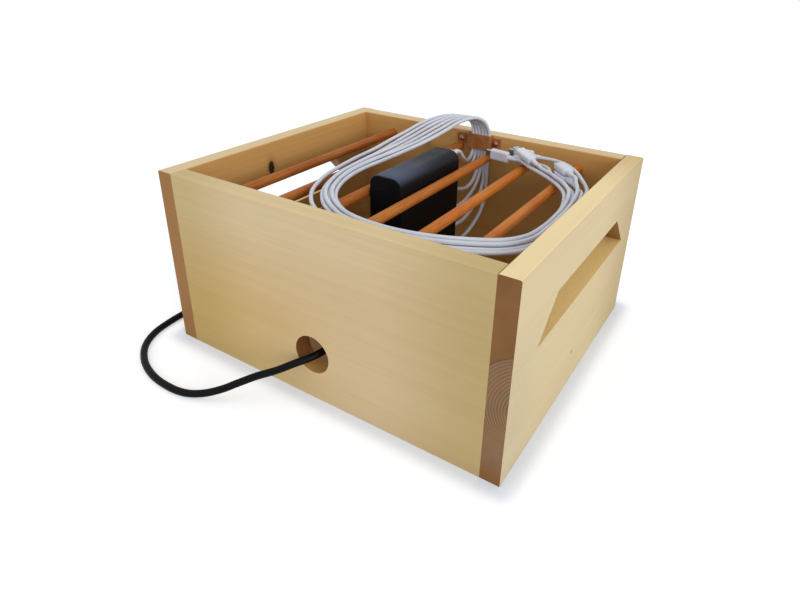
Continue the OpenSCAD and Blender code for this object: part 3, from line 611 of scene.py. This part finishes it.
def board_faces():
    """Masks of a board: the faces that look into the box, which get painted
    shade, the handle slots' own faces, which lie within the side boards and get
    painted light and shade, and the ends that are cut across the grain"""
    tree, n, start, end = group_tree(
        "board_faces", {"Vector": ORIGIN, "Normal": ORIGIN, "Grain": ORIGIN}, ("Inside", "Slot", "End Grain"))
    x, y, z = n.axes(start["Vector"])
    left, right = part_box("left_panel")[1].x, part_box("right_panel")[0].x
    n.feed(end["Inside"], n.times(
        fade(n, n.away(x, (left + right) / 2), (right - left) / 2, INNER_FADE),
        fade(n, n.away(y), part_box("back_panel")[0].y, INNER_FADE)))
    low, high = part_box("right_panel")
    slot = n.times(
        fade(n, n.away(n.away(x), (low.x + high.x) / 2), (high.x - low.x) / 2, SLOT_FADE),
        n.math("LESS_THAN", n.away(z, SLOT_MIDDLE), SLOT_HALF_HEIGHT),
        n.math("LESS_THAN", n.away(y), SLOT_HALF_LENGTH))
    n.feed(end["Slot"], slot)
    across = n.away(n.vector("DOT_PRODUCT", start["Normal"], start["Grain"], "Value"))
    n.feed(end["End Grain"], n.times(n.ramp(across, 0.7, 0.9), n.math("SUBTRACT", 1, slot)))
    return tree


def pine(name, pith, ring_width, tint, cut_tint, grain_along_y=False, rings=0.06, rim=(1, 1, 1), painted_shades=(),
         cut_rings=0.12, heart=None, knots=(), bore=None):
    """Oiled pine board: pale early wood, thin darker late wood and brown end
    grain, with painted shade that makes the faces inside the box warmer and
    darker, and painted light and shade in the handle slot. pith is the tree's
    axis across the board. rings and cut_rings are how far the late wood shows
    on the faces and on the cut ends. tint, rim and cut_tint shade the faces,
    the top edge and the cut ends; a rim above one is painted light on the top
    edge, and the front board's cut_tint is painted light on the cable hole's
    wall. Each of the casts is a painted shade of the faces: where it begins and
    is full along the grain, the shade, and the same two heights or None. Above
    the pith, rings farther from it than heart don't show on the cut ends. bore
    is the x and z of the cable hole, whose wall is a cut end too, with painted
    shade in its upper half."""
    style = bpy.context.scene.charging_box_wood
    material, n, place, normal = new_material(name)
    vector = place
    axis = (1, 0, 0)
    if grain_along_y:
        vector = n.add("ShaderNodeMapping", {"Vector": vector, "Rotation": GRAIN_ALONG_Y}).outputs[0]
        axis = (0, 1, 0)
    along, _, height = n.axes(vector)
    _, forward, upward = n.axes(normal)
    figure = n.group(shared(wood_figure), {
        "Vector": vector, "Pith": pith, "Ring Width": ring_width, "Wobble": style.wobble})
    late, fibre, patch, from_pith = (figure[key] for key in ("Late Wood", "Fibre", "Patch", "From Pith"))
    pores = n.noise(place, 1500, 2, 0.7)
    faces = n.group(shared(board_faces), {"Vector": place, "Normal": normal, "Grain": axis})

    face = n.tint(n.blend(n.ramp(patch, 0.25, 0.75), style.pale, style.warm), tint)
    # Painted shade on the faces towards a board's ends and lower corner
    for start, end, shade, heights in painted_shades:
        share = n.ramp(along, start, end)
        if heights:
            share = n.times(share, n.ramp(height, *heights))
        face = n.tint(face, shade, share)
    # Painted light on the top edge, where rim is above one
    face = n.tint(face, rim, n.times(n.ramp(upward, 0.7, 0.9), n.math("GREATER_THAN", height, TOP_EDGE)))
    # Handle slots: painted light on their lower faces, which look up, and painted shade on their upper faces and
    # ends, with saw marks across the lower faces
    if grain_along_y:
        marks = n.math("SINE", n.times(along, 2 * math.pi / SAW_MARKS))
        slot = n.blend(n.ramp(marks, -1, 1, 0, 0.18), style.slot, style.slot_shade_and_end_grain)
        slot = n.blend(n.ramp(upward, 0.2, 0.5), style.slot_shade_and_end_grain, slot)
        slot = n.blend(n.ramp(pores, 0.4, 0.7, 0, 0.2), slot, style.slot_shade_and_end_grain)
        face = n.blend(faces["Slot"], face, slot)
    # Painted shade inside the box: the inner faces warmer and darker, most of all below the dowels
    inside = n.blend(n.ramp(height, *INNER_HEIGHTS), style.inside_deeper_shade, style.inside)
    face = n.blend(faces["Inside"], face, inside)
    face = n.tint(face, style.late, n.times(late, rings))
    face = n.tint(face, style.late, n.ramp(fibre, 0.4, 0.75, 0, 0.08))

    end_grain = faces["End Grain"]
    end_shade = (*cut_tint, 1)
    if bore:
        off = n.vector("MULTIPLY", n.vector("SUBTRACT", place, (bore[0], 0, bore[1])), (1, 0, 1))
        within = n.math("LESS_THAN", n.vector("LENGTH", off, output="Value"), HOLE_REACH)
        wall = n.times(within, n.ramp(n.away(forward), 0.3, 0.6, 1, 0))
        end_grain = n.math("MAXIMUM", end_grain, wall)
        # Painted shade in the upper half of the cable hole's wall
        end_shade = n.blend(n.times(wall, n.ramp(height, *HOLE_PAINTED_SHADE_HEIGHTS)), end_shade, HOLE_PAINTED_SHADE)
    ringed = n.times(late, cut_rings)
    cut = n.blend(1, style.end_pale, end_shade, "MULTIPLY")
    if heart:
        within = fade(n, from_pith, heart, HEART_FADE)
        outermost = n.times(within, n.ramp(from_pith, heart + OUTER_RING[0], heart + OUTER_RING[1]),
                            n.math("GREATER_THAN", height, pith[2]))
        below = n.times(n.math("LESS_THAN", height, pith[2]), n.ramp(height, *RING_HEIGHTS))
        within = n.math("MAXIMUM", within, below)
        ringed = n.math("MAXIMUM", n.times(ringed, within), n.times(outermost, 0.9))
        cut = n.blend(n.times(within, 0.8), cut, style.end_heart)
    cut = n.blend(n.ramp(n.noise(place, 30), 0.3, 0.7, 0, 0.25), cut, style.end_light)
    cut = n.blend(ringed, cut, style.end_late)
    cut = n.blend(n.ramp(pores, 0.4, 0.8, 0, 0.2), cut, style.end_late)
    colour = n.blend(end_grain, face, cut)

    for middle, half_size in knots:
        mark = n.group(shared(knot_mark), {"Vector": place, "Centre": middle, "Half Size": half_size})
        colour = n.blend(n.times(mark["Rim"], 0.35), colour, linear("#8A5A2C"))
        colour = n.blend(mark["Core"], colour, linear("#2A1A0E"))

    n.surface({
        "Base Color": colour,
        "Roughness": n.ramp(fibre, 0.2, 0.8, 0.5, 0.62),
        "Normal": n.bump(fibre, 0.1, COARSE_RELIEF),
        "Specular IOR Level": 0.35,
    })
    return material


def dowel_wood():
    """Reddish oiled hardwood, short dark pores along the dowel, painted shade
    on the dowels towards the left of the box and painted light on those towards the right
    """
    style = bpy.context.scene.charging_box_wood
    material, n, place, _ = new_material("dowel_wood")
    vector = n.add("ShaderNodeMapping", {"Vector": place, "Rotation": GRAIN_ALONG_Y}).outputs[0]
    figure = n.group(shared(wood_figure), {
        "Vector": vector, "Pith": (0, 0.3, 0.05), "Ring Width": 0.0021, "Wobble": 0.004})
    pores = n.noise(n.vector("MULTIPLY", vector, (60, 1400, 1400)), 1, 2, 0.7)
    tone = n.noise(n.vector("MULTIPLY", vector, (16, 24, 24)), 1, 3)
    colour = n.blend(n.ramp(tone, 0.3, 0.72), style.dowel, style.dowel_light)
    colour = n.blend(n.times(figure["Late Wood"], 0.3), colour, style.dowel_dark)
    colour = n.blend(n.ramp(pores, 0.5, 0.8, 0, 0.6), colour, style.dowel_dark)
    colour = n.blend(n.ramp(pores, 0.2, 0.45, 0.5, 0), colour, style.dowel_fleck)
    # Painted shade on the left dowels and painted light on the right ones
    shade = n.blend(n.ramp(n.axes(place)[0], -0.03, 0.1), (0.76, 0.78, 0.86, 1), (1.1, 1.14, 1, 1))
    n.surface({
        "Base Color": n.blend(1, colour, shade, "MULTIPLY"),
        "Roughness": n.ramp(figure["Fibre"], 0.2, 0.8, 0.42, 0.6),
        "Normal": n.bump(pores, 0.35, COARSE_RELIEF),
        "Specular IOR Level": 0.18,
    })
    return material


def plywood():
    """Birch plywood: quiet face veneer, and plies along its edges"""
    material, n, place, normal = new_material("floor_plywood")
    figure = n.group(shared(wood_figure), {
        "Vector": place, "Pith": (0, 0, -0.06), "Ring Width": 0.011, "Wobble": 0.03})
    ply = n.math("FRACT", n.math("DIVIDE", n.axes(place)[2], TWO_PLIES))
    side = n.math("SUBTRACT", 1, n.away(n.axes(normal)[2]))
    colour = n.blend(n.times(figure["Late Wood"], 0.45), linear("#C9A066"), linear("#A87B42"))
    plies = n.blend(n.math("GREATER_THAN", ply, 0.5), linear("#C59A60"), linear("#8F6233"))
    n.surface({
        "Base Color": n.blend(n.ramp(side, 0.5, 0.9), colour, plies),
        "Roughness": n.ramp(figure["Fibre"], 0.2, 0.8, 0.55, 0.7),
        "Normal": n.bump(figure["Fibre"], 0.2, COARSE_RELIEF),
    })
    return material


def plastic(name, dark, light, roughness, scale, strength=0.15, coat=0, shine=0.5, painted_sheen=None):
    """Moulded plastic: a base colour that drifts to a second one, fine
    dimples and a roughness that follows the drift. bloom is the colour of a
    painted sheen on the faces that look up, strongest towards the front."""
    material, n, place, normal = new_material(name)
    texture = n.group(shared(fine_texture), {"Vector": place, "Scale": scale})
    colour = n.blend(n.ramp(texture["Shade"], 0.3, 0.7), linear(dark), linear(light))
    # Painted sheen: a bluish colour on the faces that look up, strongest towards the front
    if painted_sheen:
        up = n.ramp(n.axes(normal)[2], 0.3, 1)
        front = n.ramp(n.axes(place)[1], -0.05, 0.035, 1, 0.06)
        colour = n.blend(n.times(up, front), colour, linear(painted_sheen))
    n.surface({
        "Base Color": colour,
        "Roughness": n.ramp(texture["Shade"], 0.3, 0.7, roughness, roughness + 0.08),
        "Normal": n.bump(texture["Height"], strength, FINE_RELIEF),
        "Specular IOR Level": shine,
        "Coat Weight": coat,
        "Coat Roughness": 0.2,
    })
    return material


def metal(name, dark, light, roughness):
    """Plated metal with faint handling marks"""
    material, n, place, _ = new_material(name)
    texture = n.group(shared(fine_texture), {"Vector": place, "Scale": 900})
    n.surface({
        "Base Color": n.blend(n.ramp(texture["Shade"], 0.3, 0.7), linear(dark), linear(light)),
        "Roughness": n.ramp(texture["Height"], 0.3, 0.7, roughness, roughness + 0.15),
        "Normal": n.bump(texture["Height"], 0.08, FINE_RELIEF),
        "Metallic": 1,
    })
    return material


def leather():
    """Vegetable-tanned hide: pebbled grain of small cells, with painted shade in its creases"""
    style = bpy.context.scene.charging_box_wood
    material, n, place, _ = new_material("strap_leather")
    cells = n.add(
        "ShaderNodeTexVoronoi", {"Vector": place, "Scale": 1100}, feature="DISTANCE_TO_EDGE"
    ).outputs["Distance"]
    tone = n.noise(place, 120, 3)
    colour = n.blend(n.ramp(tone, 0.3, 0.7), style.hide, style.hide_light)
    n.surface({
        # Painted shade in the creases between the cells
        "Base Color": n.blend(n.ramp(cells, 0, 0.12, 0.5, 0), colour, linear("#4A2A12")),
        "Roughness": n.ramp(tone, 0.3, 0.7, 0.45, 0.62),
        "Normal": n.bump(n.ramp(cells, 0, 0.2), 0.35, COARSE_RELIEF),
    })
    return material


# Settings


def swatch(name, description, code):
    """Property for a colour"""
    return bpy.props.FloatVectorProperty(
        name=name, description=description, subtype="COLOR", size=4, min=0, max=1, default=linear(code))


def number(name, description, default, **limits):
    """Property for a number"""
    return bpy.props.FloatProperty(name=name, description=description, default=default, **limits)


class ChargingBoxWood(bpy.types.PropertyGroup):
    """Colours and edges of the box, its dowels and its strap"""

    pale: swatch("Pale pine", "Early wood of the boards", "#E7CC9E")
    warm: swatch("Warm pine", "Warmer patches of the boards", "#E0C190")
    # Painted shade of the faces that look into the box, darker still low down
    inside: swatch("Inside", "Faces that look into the box", "#CA9B5B")
    inside_deeper_shade: swatch("Inside, low down", "The same faces below the dowels", "#AF854C")
    # Painted light on the slots' lower faces; painted shade on their upper faces and ends, whose end grain is
    # also darker
    slot: swatch("Slot", "Lower faces of the handle slots", "#FFDD90")
    slot_shade_and_end_grain: swatch("Slot ends", "Ends and upper faces of the handle slots", "#A87C48")
    late: swatch("Late wood", "Tint of the rings and fibres on the boards' faces", "#C79E66")
    end_pale: swatch("End grain", "Cut ends of the side boards", "#B3824E")
    end_light: swatch("Light end grain", "Paler patches of the cut ends", "#A5743C")
    end_heart: swatch("Ringed end grain", "Cut ends near the pith", "#8E7253")
    end_late: swatch("End rings", "Rings on the cut ends", "#5C3C20")
    dowel: swatch("Dowel", "Oiled hardwood of the dowels", "#B86222")
    dowel_light: swatch("Light dowel", "Paler stretches of the dowels", "#C67830")
    dowel_dark: swatch("Dowel pores", "Pores of the dowels", "#743812")
    dowel_fleck: swatch("Dowel flecks", "Pale flecks between the pores", "#DE9C58")
    hide: swatch("Strap", "Leather of the cable strap", "#9A5F2B")
    hide_light: swatch("Light strap", "Paler leather of the cable strap", "#B2763A")
    wobble: number(
        "Ring wobble", "How far the rings stray", 0.004, min=0, max=0.02, unit="LENGTH", precision=4)
    board_edge: number(
        "Board edge", "Rounding of the boards' edges", 0.0007, min=0, max=0.002, unit="LENGTH", precision=4)


class ChargingBoxStage(bpy.types.PropertyGroup):
    """Camera, lamps and floor"""

    camera: bpy.props.FloatVectorProperty(
        name="Camera", description="Place of the camera", subtype="TRANSLATION", unit="LENGTH",
        default=(0.30415, -0.48465, 0.37596))
    target: bpy.props.FloatVectorProperty(
        name="Target", description="Point on the camera's axis", subtype="TRANSLATION", unit="LENGTH",
        default=(0.00197, 0.00494, 0.1))
    roll: number("Roll", "Turn of the camera about its axis", math.radians(1.485), subtype="ANGLE")
    focal: number("Focal length in pixels", "For a picture of 800 by 600 pixels", 599.09)
    centre: bpy.props.FloatVectorProperty(
        name="Principal point", description="In pixels of that picture", size=2, default=(417.33, 238.9))
    key: number("Key lamp", "Strength of the key lamp", 1.1, min=0)
    fill: number("Fill lamp", "Strength of the fill lamp", 0.3, min=0)
    sky: number("Sky", "Strength of the even light", 0.72, min=0)
    glow: number("Floor glow", "What makes the unshaded floor white", 0.4, min=0)
    # Width of the painted contact shadow on the floor
    contact: number(
        "Contact shadow", "Width of the floor's shade at the boards", 0.025, min=0.001, unit="LENGTH")


# Operators

# Half the floor's side, and the photograph's width and height in pixels
FLOOR_REACH = 6
PICTURE = (800, 600)


class CHARGINGBOX_OT_stage(bpy.types.Operator):
    """Camera, lamps, even light and the pale floor"""

    bl_idname = "chargingbox.stage"
    bl_label = "Stage"

    def execute(self, context):
        style = context.scene.charging_box_stage
        for part in (self.camera, self.lamps, self.sky, self.floor):
            part(context, style)
        context.scene.view_settings.view_transform = "Standard"
        return {"FINISHED"}

    def camera(self, context, style):
        """Camera whose axes come from its place, target and roll"""
        width, height = PICTURE
        data = bpy.data.cameras.new("photo_camera")
        data.sensor_fit = "HORIZONTAL"
        data.sensor_width = 36
        data.lens = style.focal / width * data.sensor_width
        data.shift_x = (width / 2 - style.centre[0]) / width
        data.shift_y = (style.centre[1] - height / 2) / width
        data.clip_start = 0.01
        data.clip_end = 50
        place = Vector(style.camera)
        ahead = (Vector(style.target) - place).normalized()
        right = ahead.cross(Vector((0, 0, 1))).normalized()
        up = right.cross(ahead)
        c, s = math.cos(style.roll), math.sin(style.roll)
        turned = Matrix((c * right + s * up, -s * right + c * up, -ahead)).transposed().to_4x4()
        camera = bpy.data.objects.new("photo_camera", data)
        camera.matrix_world = Matrix.Translation(place) @ turned
        context.scene.collection.objects.link(camera)
        context.scene.camera = camera

    def lamps(self, context, style):
        """Wide soft lamps that are far off, so the floor is lit evenly"""
        lamps = (
            ("key", (1.0, -0.42, 0.38), 30, style.key),
            ("fill", (-0.3, -0.6, 1.0), 60, style.fill),
        )
        for name, towards, width, strength in lamps:
            data = bpy.data.lights.new(name, "SUN")
            data.angle = math.radians(width)
            data.energy = strength
            lamp = bpy.data.objects.new(name, data)
            lamp.rotation_euler = Vector(towards).to_track_quat("Z", "Y").to_euler()
            context.scene.collection.objects.link(lamp)

    def sky(self, context, style):
        """White for what the camera sees, mirrors and glass, dimmer for the light"""
        world = bpy.data.worlds.new("even_light")
        world.use_nodes = True
        world.node_tree.nodes.clear()
        n = Nodes(world.node_tree)
        rays = n.add("ShaderNodeLightPath").outputs
        seen = n.math("MAXIMUM", rays["Is Camera Ray"], rays["Is Transmission Ray"])
        seen = n.math("MAXIMUM", seen, rays["Is Glossy Ray"])
        strength = n.ramp(seen, 0.0, 1.0, style.sky, 1.0)
        light = n.add("ShaderNodeBackground", {"Color": (1, 1, 1, 1), "Strength": strength})
        n.add("ShaderNodeOutputWorld", {"Surface": light.outputs[0]})
        context.scene.world = world

    def floor(self, context, style):
        """Pale floor that keeps the shadow and reads as white round it, with a
        painted contact shadow, a little darker and cooler, where it meets the boards"""
        material, n, place, _ = new_material("pale_floor")
        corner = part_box("right_panel")[1]
        axes = n.axes(place)
        # Painted contact shadow: the floor's colour and glow fall off within the contact width of the boards
        x, y = (n.math("MAXIMUM", n.math("SUBTRACT", n.away(axes[k]), corner[k]), 0.0) for k in (0, 1))
        away = n.math("SQRT", n.math("ADD", n.times(x, x), n.times(y, y)))
        near = n.ramp(away, 0.0, style.contact, 1, 0)
        rays = n.add("ShaderNodeLightPath").outputs
        seen = n.math("MAXIMUM", rays["Is Camera Ray"], rays["Is Glossy Ray"])
        n.surface({
            "Base Color": n.blend(near, (0.76, 0.79, 0.84, 1), (0.56, 0.6, 0.68, 1)),
            "Roughness": 0.9,
            "Specular IOR Level": 0.0,
            "Emission Color": (1, 1, 1, 1),
            "Emission Strength": n.times(seen, n.ramp(near, 0.0, 1.0, 1.0, 0.55), style.glow),
        })
        r = FLOOR_REACH
        piece = mesh_object("floor", [(-r, -r, 0), (r, -r, 0), (r, r, 0), (-r, r, 0)], [(0, 1, 2, 3)])
        paint(piece, material)


# Sizes of the plugs: length of the strain relief, half height of the grip,
# length of the metal shell, and the length and half width of both grips
RELIEF_LENGTH = 0.009
GRIP_HEIGHT = 0.0036
SHELL_LENGTH = 0.0066
PORT_GRIP = (0.019, 0.0055)
FREE_GRIP = (0.022, 0.006)


def plug_sections(grip_length, half_width):
    """Sections of a plug as loft takes them: a ribbed strain relief, a
    shoulder whose width grows with the sine of its turn, and a grip with a
    rounded rim"""
    narrow, wide = 0.0023, 0.003
    ribs, rib_depth = 4, 0.00028
    x = np.linspace(0, RELIEF_LENGTH, 4 * ribs + 1)
    radius = narrow + (wide - narrow) * x / RELIEF_LENGTH - rib_depth * (np.arange(len(x)) % 4 >= 2)
    sections = [(a, r, r, r) for a, r in zip(x, radius)]
    shoulder, rim = 0.0016, 0.0009
    neck_width, neck_height, neck_corner, corner = 0.0032, 0.0031, 0.003, 0.0026
    quarter = math.pi / 2
    for turn in np.linspace(0, quarter, 7):
        share = math.sin(turn)
        sections.append((
            RELIEF_LENGTH + shoulder * (1 - math.cos(turn)),
            neck_width + (half_width - neck_width) * share,
            neck_height + (GRIP_HEIGHT - neck_height) * share,
            neck_corner + (corner - neck_corner) * turn / quarter,
        ))
    end = RELIEF_LENGTH + grip_length
    for turn in np.linspace(0, quarter, 6):
        drop = rim * (1 - math.cos(turn))
        sections.append((end - rim + rim * math.sin(turn), half_width - drop, GRIP_HEIGHT - drop, corner - drop))
    return sections


def shell_sections(start):
    """Sections of a flat metal tube as distance and inset: out along its
    outside, over the lip and back inside"""
    half_width, half_height, wall = 0.00415, 0.00125, 0.0003
    lip, chamfer, root = 0.0002, 0.0001, 0.0006
    end = start + SHELL_LENGTH
    way = ((start - lip, 0), (end - lip, 0), (end, chamfer), (end, wall - chamfer), (end - lip, wall),
           (start + root, wall))
    return [(x, half_width - inset, half_height - inset, half_height - inset) for x, inset in way]


class CHARGINGBOX_OT_charge_cables(bpy.types.Operator):
    """Six charge cables with the plugs at both of their ends"""

    bl_idname = "chargingbox.charge_cables"
    bl_label = "Charge cables"

    def execute(self, context):
        sheath = plastic("cable_sheath", "#C3C8D4", "#CED3DD", 0.36, 900, 0.05, 0.1)
        grip = plastic("plug_grip", "#C9CCD9", "#D4D7E1", 0.34, 1500, 0.05, 0.15)
        shell = metal("nickel_shell", "#9A9DA3", "#B4B6BA", 0.24)
        for i in range(1, LANES + 1):
            path = cable_route(i)
            cable = dress(tube(f"cable_{i}", path, CABLE_DIAMETER / 2, CABLE_SIDES),
                          sheath, "white_cable", f"charge_cable_{i}")
            plugs = [
                *self.plug(f"port_plug_{i}", PORT_GRIP, lay_of(path[0], -90), grip, shell,
                           f"charger_plug_{i}", "charger_plug_shells"),
                *self.plug(f"free_plug_{i}", FREE_GRIP, lay_of(*PLUGS[i - 1]), grip, shell,
                           f"laptop_plug_{i}", "laptop_plug_shells"),
            ]
        return {"FINISHED"}

    def plug(self, name, size, place, grip, shell, node, shells_node):
        """White grip and hollow metal shell of one plug"""
        body = weighted(loft(name, plug_sections(*size), place))
        tip = weighted(loft(f"{name}_shell", shell_sections(RELIEF_LENGTH + size[0]), place, 40))
        return [dress(body, grip, "white_plug", node), dress(tip, shell, "plated_metal", shells_node)]


class CHARGINGBOX_OT_mains_cord(bpy.types.Operator):
    """Mains cord with its connector, coil, tie and wall plug"""

    bl_idname = "chargingbox.mains_cord"
    bl_label = "Mains cord"

    def execute(self, context):
        sheath = plastic("cord_sheath", "#050607", "#090A0C", 0.42, 700, 0.1, shine=0.1)
        moulded = plastic("cord_plug", "#101013", "#17171B", 0.45, 1600, 0.2, shine=0.25)
        band = plastic("tie_band", "#2A2A2E", "#333338", 0.7, 2400, 0.5)
        pins = metal("plug_pins", "#A6A8AC", "#C0C1C4", 0.2)
        path = cord_route()
        cord = dress(tube("mains_cord", path, CORD_DIAMETER / 2, CORD_SIDES),
                     sheath, "black_cord", "mains_lead", "mains_coil")
        others = [
            cover("cord_connector", "inlet_connector", 0.0006, moulded, "black_plug"),
            cover("cord_wall_plug", "wall_plug_body", 0.0008, moulded, "black_plug"),
            cover("cord_plug_pins", "wall_plug_pins", 0.0002, pins, "plated_metal"),
            cover("cord_tie", "coil_tie", 0.0002, band, "tie_rubber"),
        ]
        return {"FINISHED"}


class CHARGINGBOX_OT_boards(bpy.types.Operator):
    """Front, back and side boards, floor panel and corner pins"""

    bl_idname = "chargingbox.boards"
    bl_label = "Boards"

    def execute(self, context):
        edge = context.scene.charging_box_wood.board_edge
        boards = {
            "front": pine(
                # cut_tint paints light on the cable hole's lower wall, the front board's only cut end in sight
                "pine_front", (0, -0.31, 0.02), 0.0072, (0.89, 0.92, 0.96), (1.3, 1.35, 1),
                rim=(1, 1.01, 0.96), bore=(-0.004, 0.048),
                # Painted shade towards both ends and towards the lower left
                painted_shades=((0.06, 0.165, (0.79, 0.77, 0.6), None),
                       (-0.06, -0.165, (0.81, 0.78, 0.61), None),
                       (0.06, -0.09, (0.96, 0.875, 0.63), (0.175, 0.055)))),
            "back": pine(
                "pine_back", (0, 0.28, 0.12), 0.0065, (0.9, 0.95, 0.97), (0.8, 0.75, 0.6), rings=0.12),
            "left": pine(
                "pine_left", (0, 0.21, 0.03), 0.006, (0.9, 0.95, 0.97), (0.75, 0.69, 0.45), True,
                rings=0.1, knots=(((-0.167, -0.033, 0.156), (0.006, 0.0046, 0.0085)),)),
            "right": pine(
                "pine_right", (0, -0.207, 0.076), 0.0024, (0.857, 0.922, 0.921), (0.46, 0.39, 0.25), True,
                # rim paints light on the top edge
                rim=(1.32, 1.316, 1.319), rings=0.03, cut_rings=0.75, heart=0.0528,
                # Painted shade towards the back end, and low down towards the front
                painted_shades=((0.03, 0.175, (0.74, 0.7, 0.58), None),
                       (-0.07, -0.165, (0.9, 0.92, 1), (0.17, 0.08))),
                knots=(((0.185, -0.008, 0.037), (0.003, 0.0014, 0.0014)),)),
        }
        for name, material in boards.items():
            cover(f"{name}_board", f"{name}_panel", edge, material, "pine_board")
        cover("floor_board", "floor_panel", 0.0004, plywood(), "plywood")
        paint(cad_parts["corner_dowels"], shared(dowel_wood))
        return {"FINISHED"}


class CHARGINGBOX_OT_dowels(bpy.types.Operator):
    """Six divider dowels"""

    bl_idname = "chargingbox.dowels"
    bl_label = "Divider dowels"

    def execute(self, context):
        for i in range(1, DOWELS + 1):
            cover(f"dowel_{i}", f"divider_dowel_{i}", 0.0006, shared(dowel_wood), "dowel_wood")
        return {"FINISHED"}


class CHARGINGBOX_OT_strap(bpy.types.Operator):
    """Leather cable strap with its screws and washers"""

    bl_idname = "chargingbox.strap"
    bl_label = "Cable strap"

    def execute(self, context):
        copper = metal("copper_screw", "#9C5C44", "#C07C5E", 0.3)
        steel = metal("washer_steel", "#8E9094", "#A6A8AC", 0.35)
        cover("strap", "cable_strap", 0.00045, leather(), "strap_leather")
        cover("screws", "strap_screws", 0.00015, copper, "screw_copper")
        cover("washers", "strap_washers", 0.00015, steel, "steel_washer")
        return {"FINISHED"}


class CHARGINGBOX_OT_charger(bpy.types.Operator):
    """Charger: sleeve, end caps, inlet, light and what is inside"""

    bl_idname = "chargingbox.charger"
    bl_label = "Charger"

    def execute(self, context):
        # The casing's faces that look up get a painted bluish sheen
        casing = plastic("charger_casing", "#0B0C0F", "#0F1013", 0.42, 2600, 0.25, shine=0.1, painted_sheen="#464E62")
        socket = plastic("inlet_plastic", "#121214", "#17171A", 0.5, 1500)
        mask = plastic("solder_mask", "#1A4A30", "#236A42", 0.35, 500)
        resin = plastic("component_resin", "#30343B", "#3E434B", 0.5, 900)
        guide = plastic("light_guide", "#030304", "#060608", 0.5, 900, shine=0.05)
        plating = metal("socket_plating", "#A2A4A8", "#B8BABE", 0.3)
        for name, node in (("charger_tube", "charger_sleeve"), ("charger_near_cap", "charger_inlet_end"),
                           ("charger_far_cap", "charger_port_end")):
            cover(name, node, 0.0003, casing, "charger_casing")
        cover("charger_socket", "charger_inlet", 0.0002, socket, "inlet_plastic")
        cover("charger_lamp", "charger_light", 0.0001, guide, "status_light")
        for node, material in (("charger_inlet_pins", plating), ("usb_sockets", plating),
                               ("charger_main_board", mask), ("charger_port_board", mask),
                               ("charger_components", resin)):
            paint(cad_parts[node], material)
        return {"FINISHED"}


STEPS = (
    CHARGINGBOX_OT_stage,
    CHARGINGBOX_OT_charge_cables,
    CHARGINGBOX_OT_mains_cord,
    CHARGINGBOX_OT_boards,
    CHARGINGBOX_OT_dowels,
    CHARGINGBOX_OT_strap,
    CHARGINGBOX_OT_charger,
)


class CHARGINGBOX_PT_sidebar(bpy.types.Panel):
    """Lists the operators and the settings"""

    bl_label = "Charging Box"
    bl_idname = "CHARGINGBOX_PT_sidebar"
    bl_space_type = "VIEW_3D"
    bl_region_type = "UI"
    bl_category = "Charging Box"

    def draw(self, context):
        for step in STEPS:
            self.layout.operator(step.bl_idname)
        for settings in (context.scene.charging_box_wood, context.scene.charging_box_stage):
            box = self.layout.box()
            for key in settings.bl_rna.properties.keys():
                if key not in {"rna_type", "name"}:
                    box.prop(settings, key)


CLASSES = (ChargingBoxWood, ChargingBoxStage, *STEPS, CHARGINGBOX_PT_sidebar)


def register():
    for kind in CLASSES:
        bpy.utils.register_class(kind)
    bpy.types.Scene.charging_box_wood = bpy.props.PointerProperty(type=ChargingBoxWood)
    bpy.types.Scene.charging_box_stage = bpy.props.PointerProperty(type=ChargingBoxStage)


def unregister():
    del bpy.types.Scene.charging_box_stage
    del bpy.types.Scene.charging_box_wood
    for kind in reversed(CLASSES):
        bpy.utils.unregister_class(kind)


def main():
    register()
    for step in STEPS:
        family, name = step.bl_idname.split(".")
        getattr(getattr(bpy.ops, family), name)()


if __name__ == "__main__":
    main()
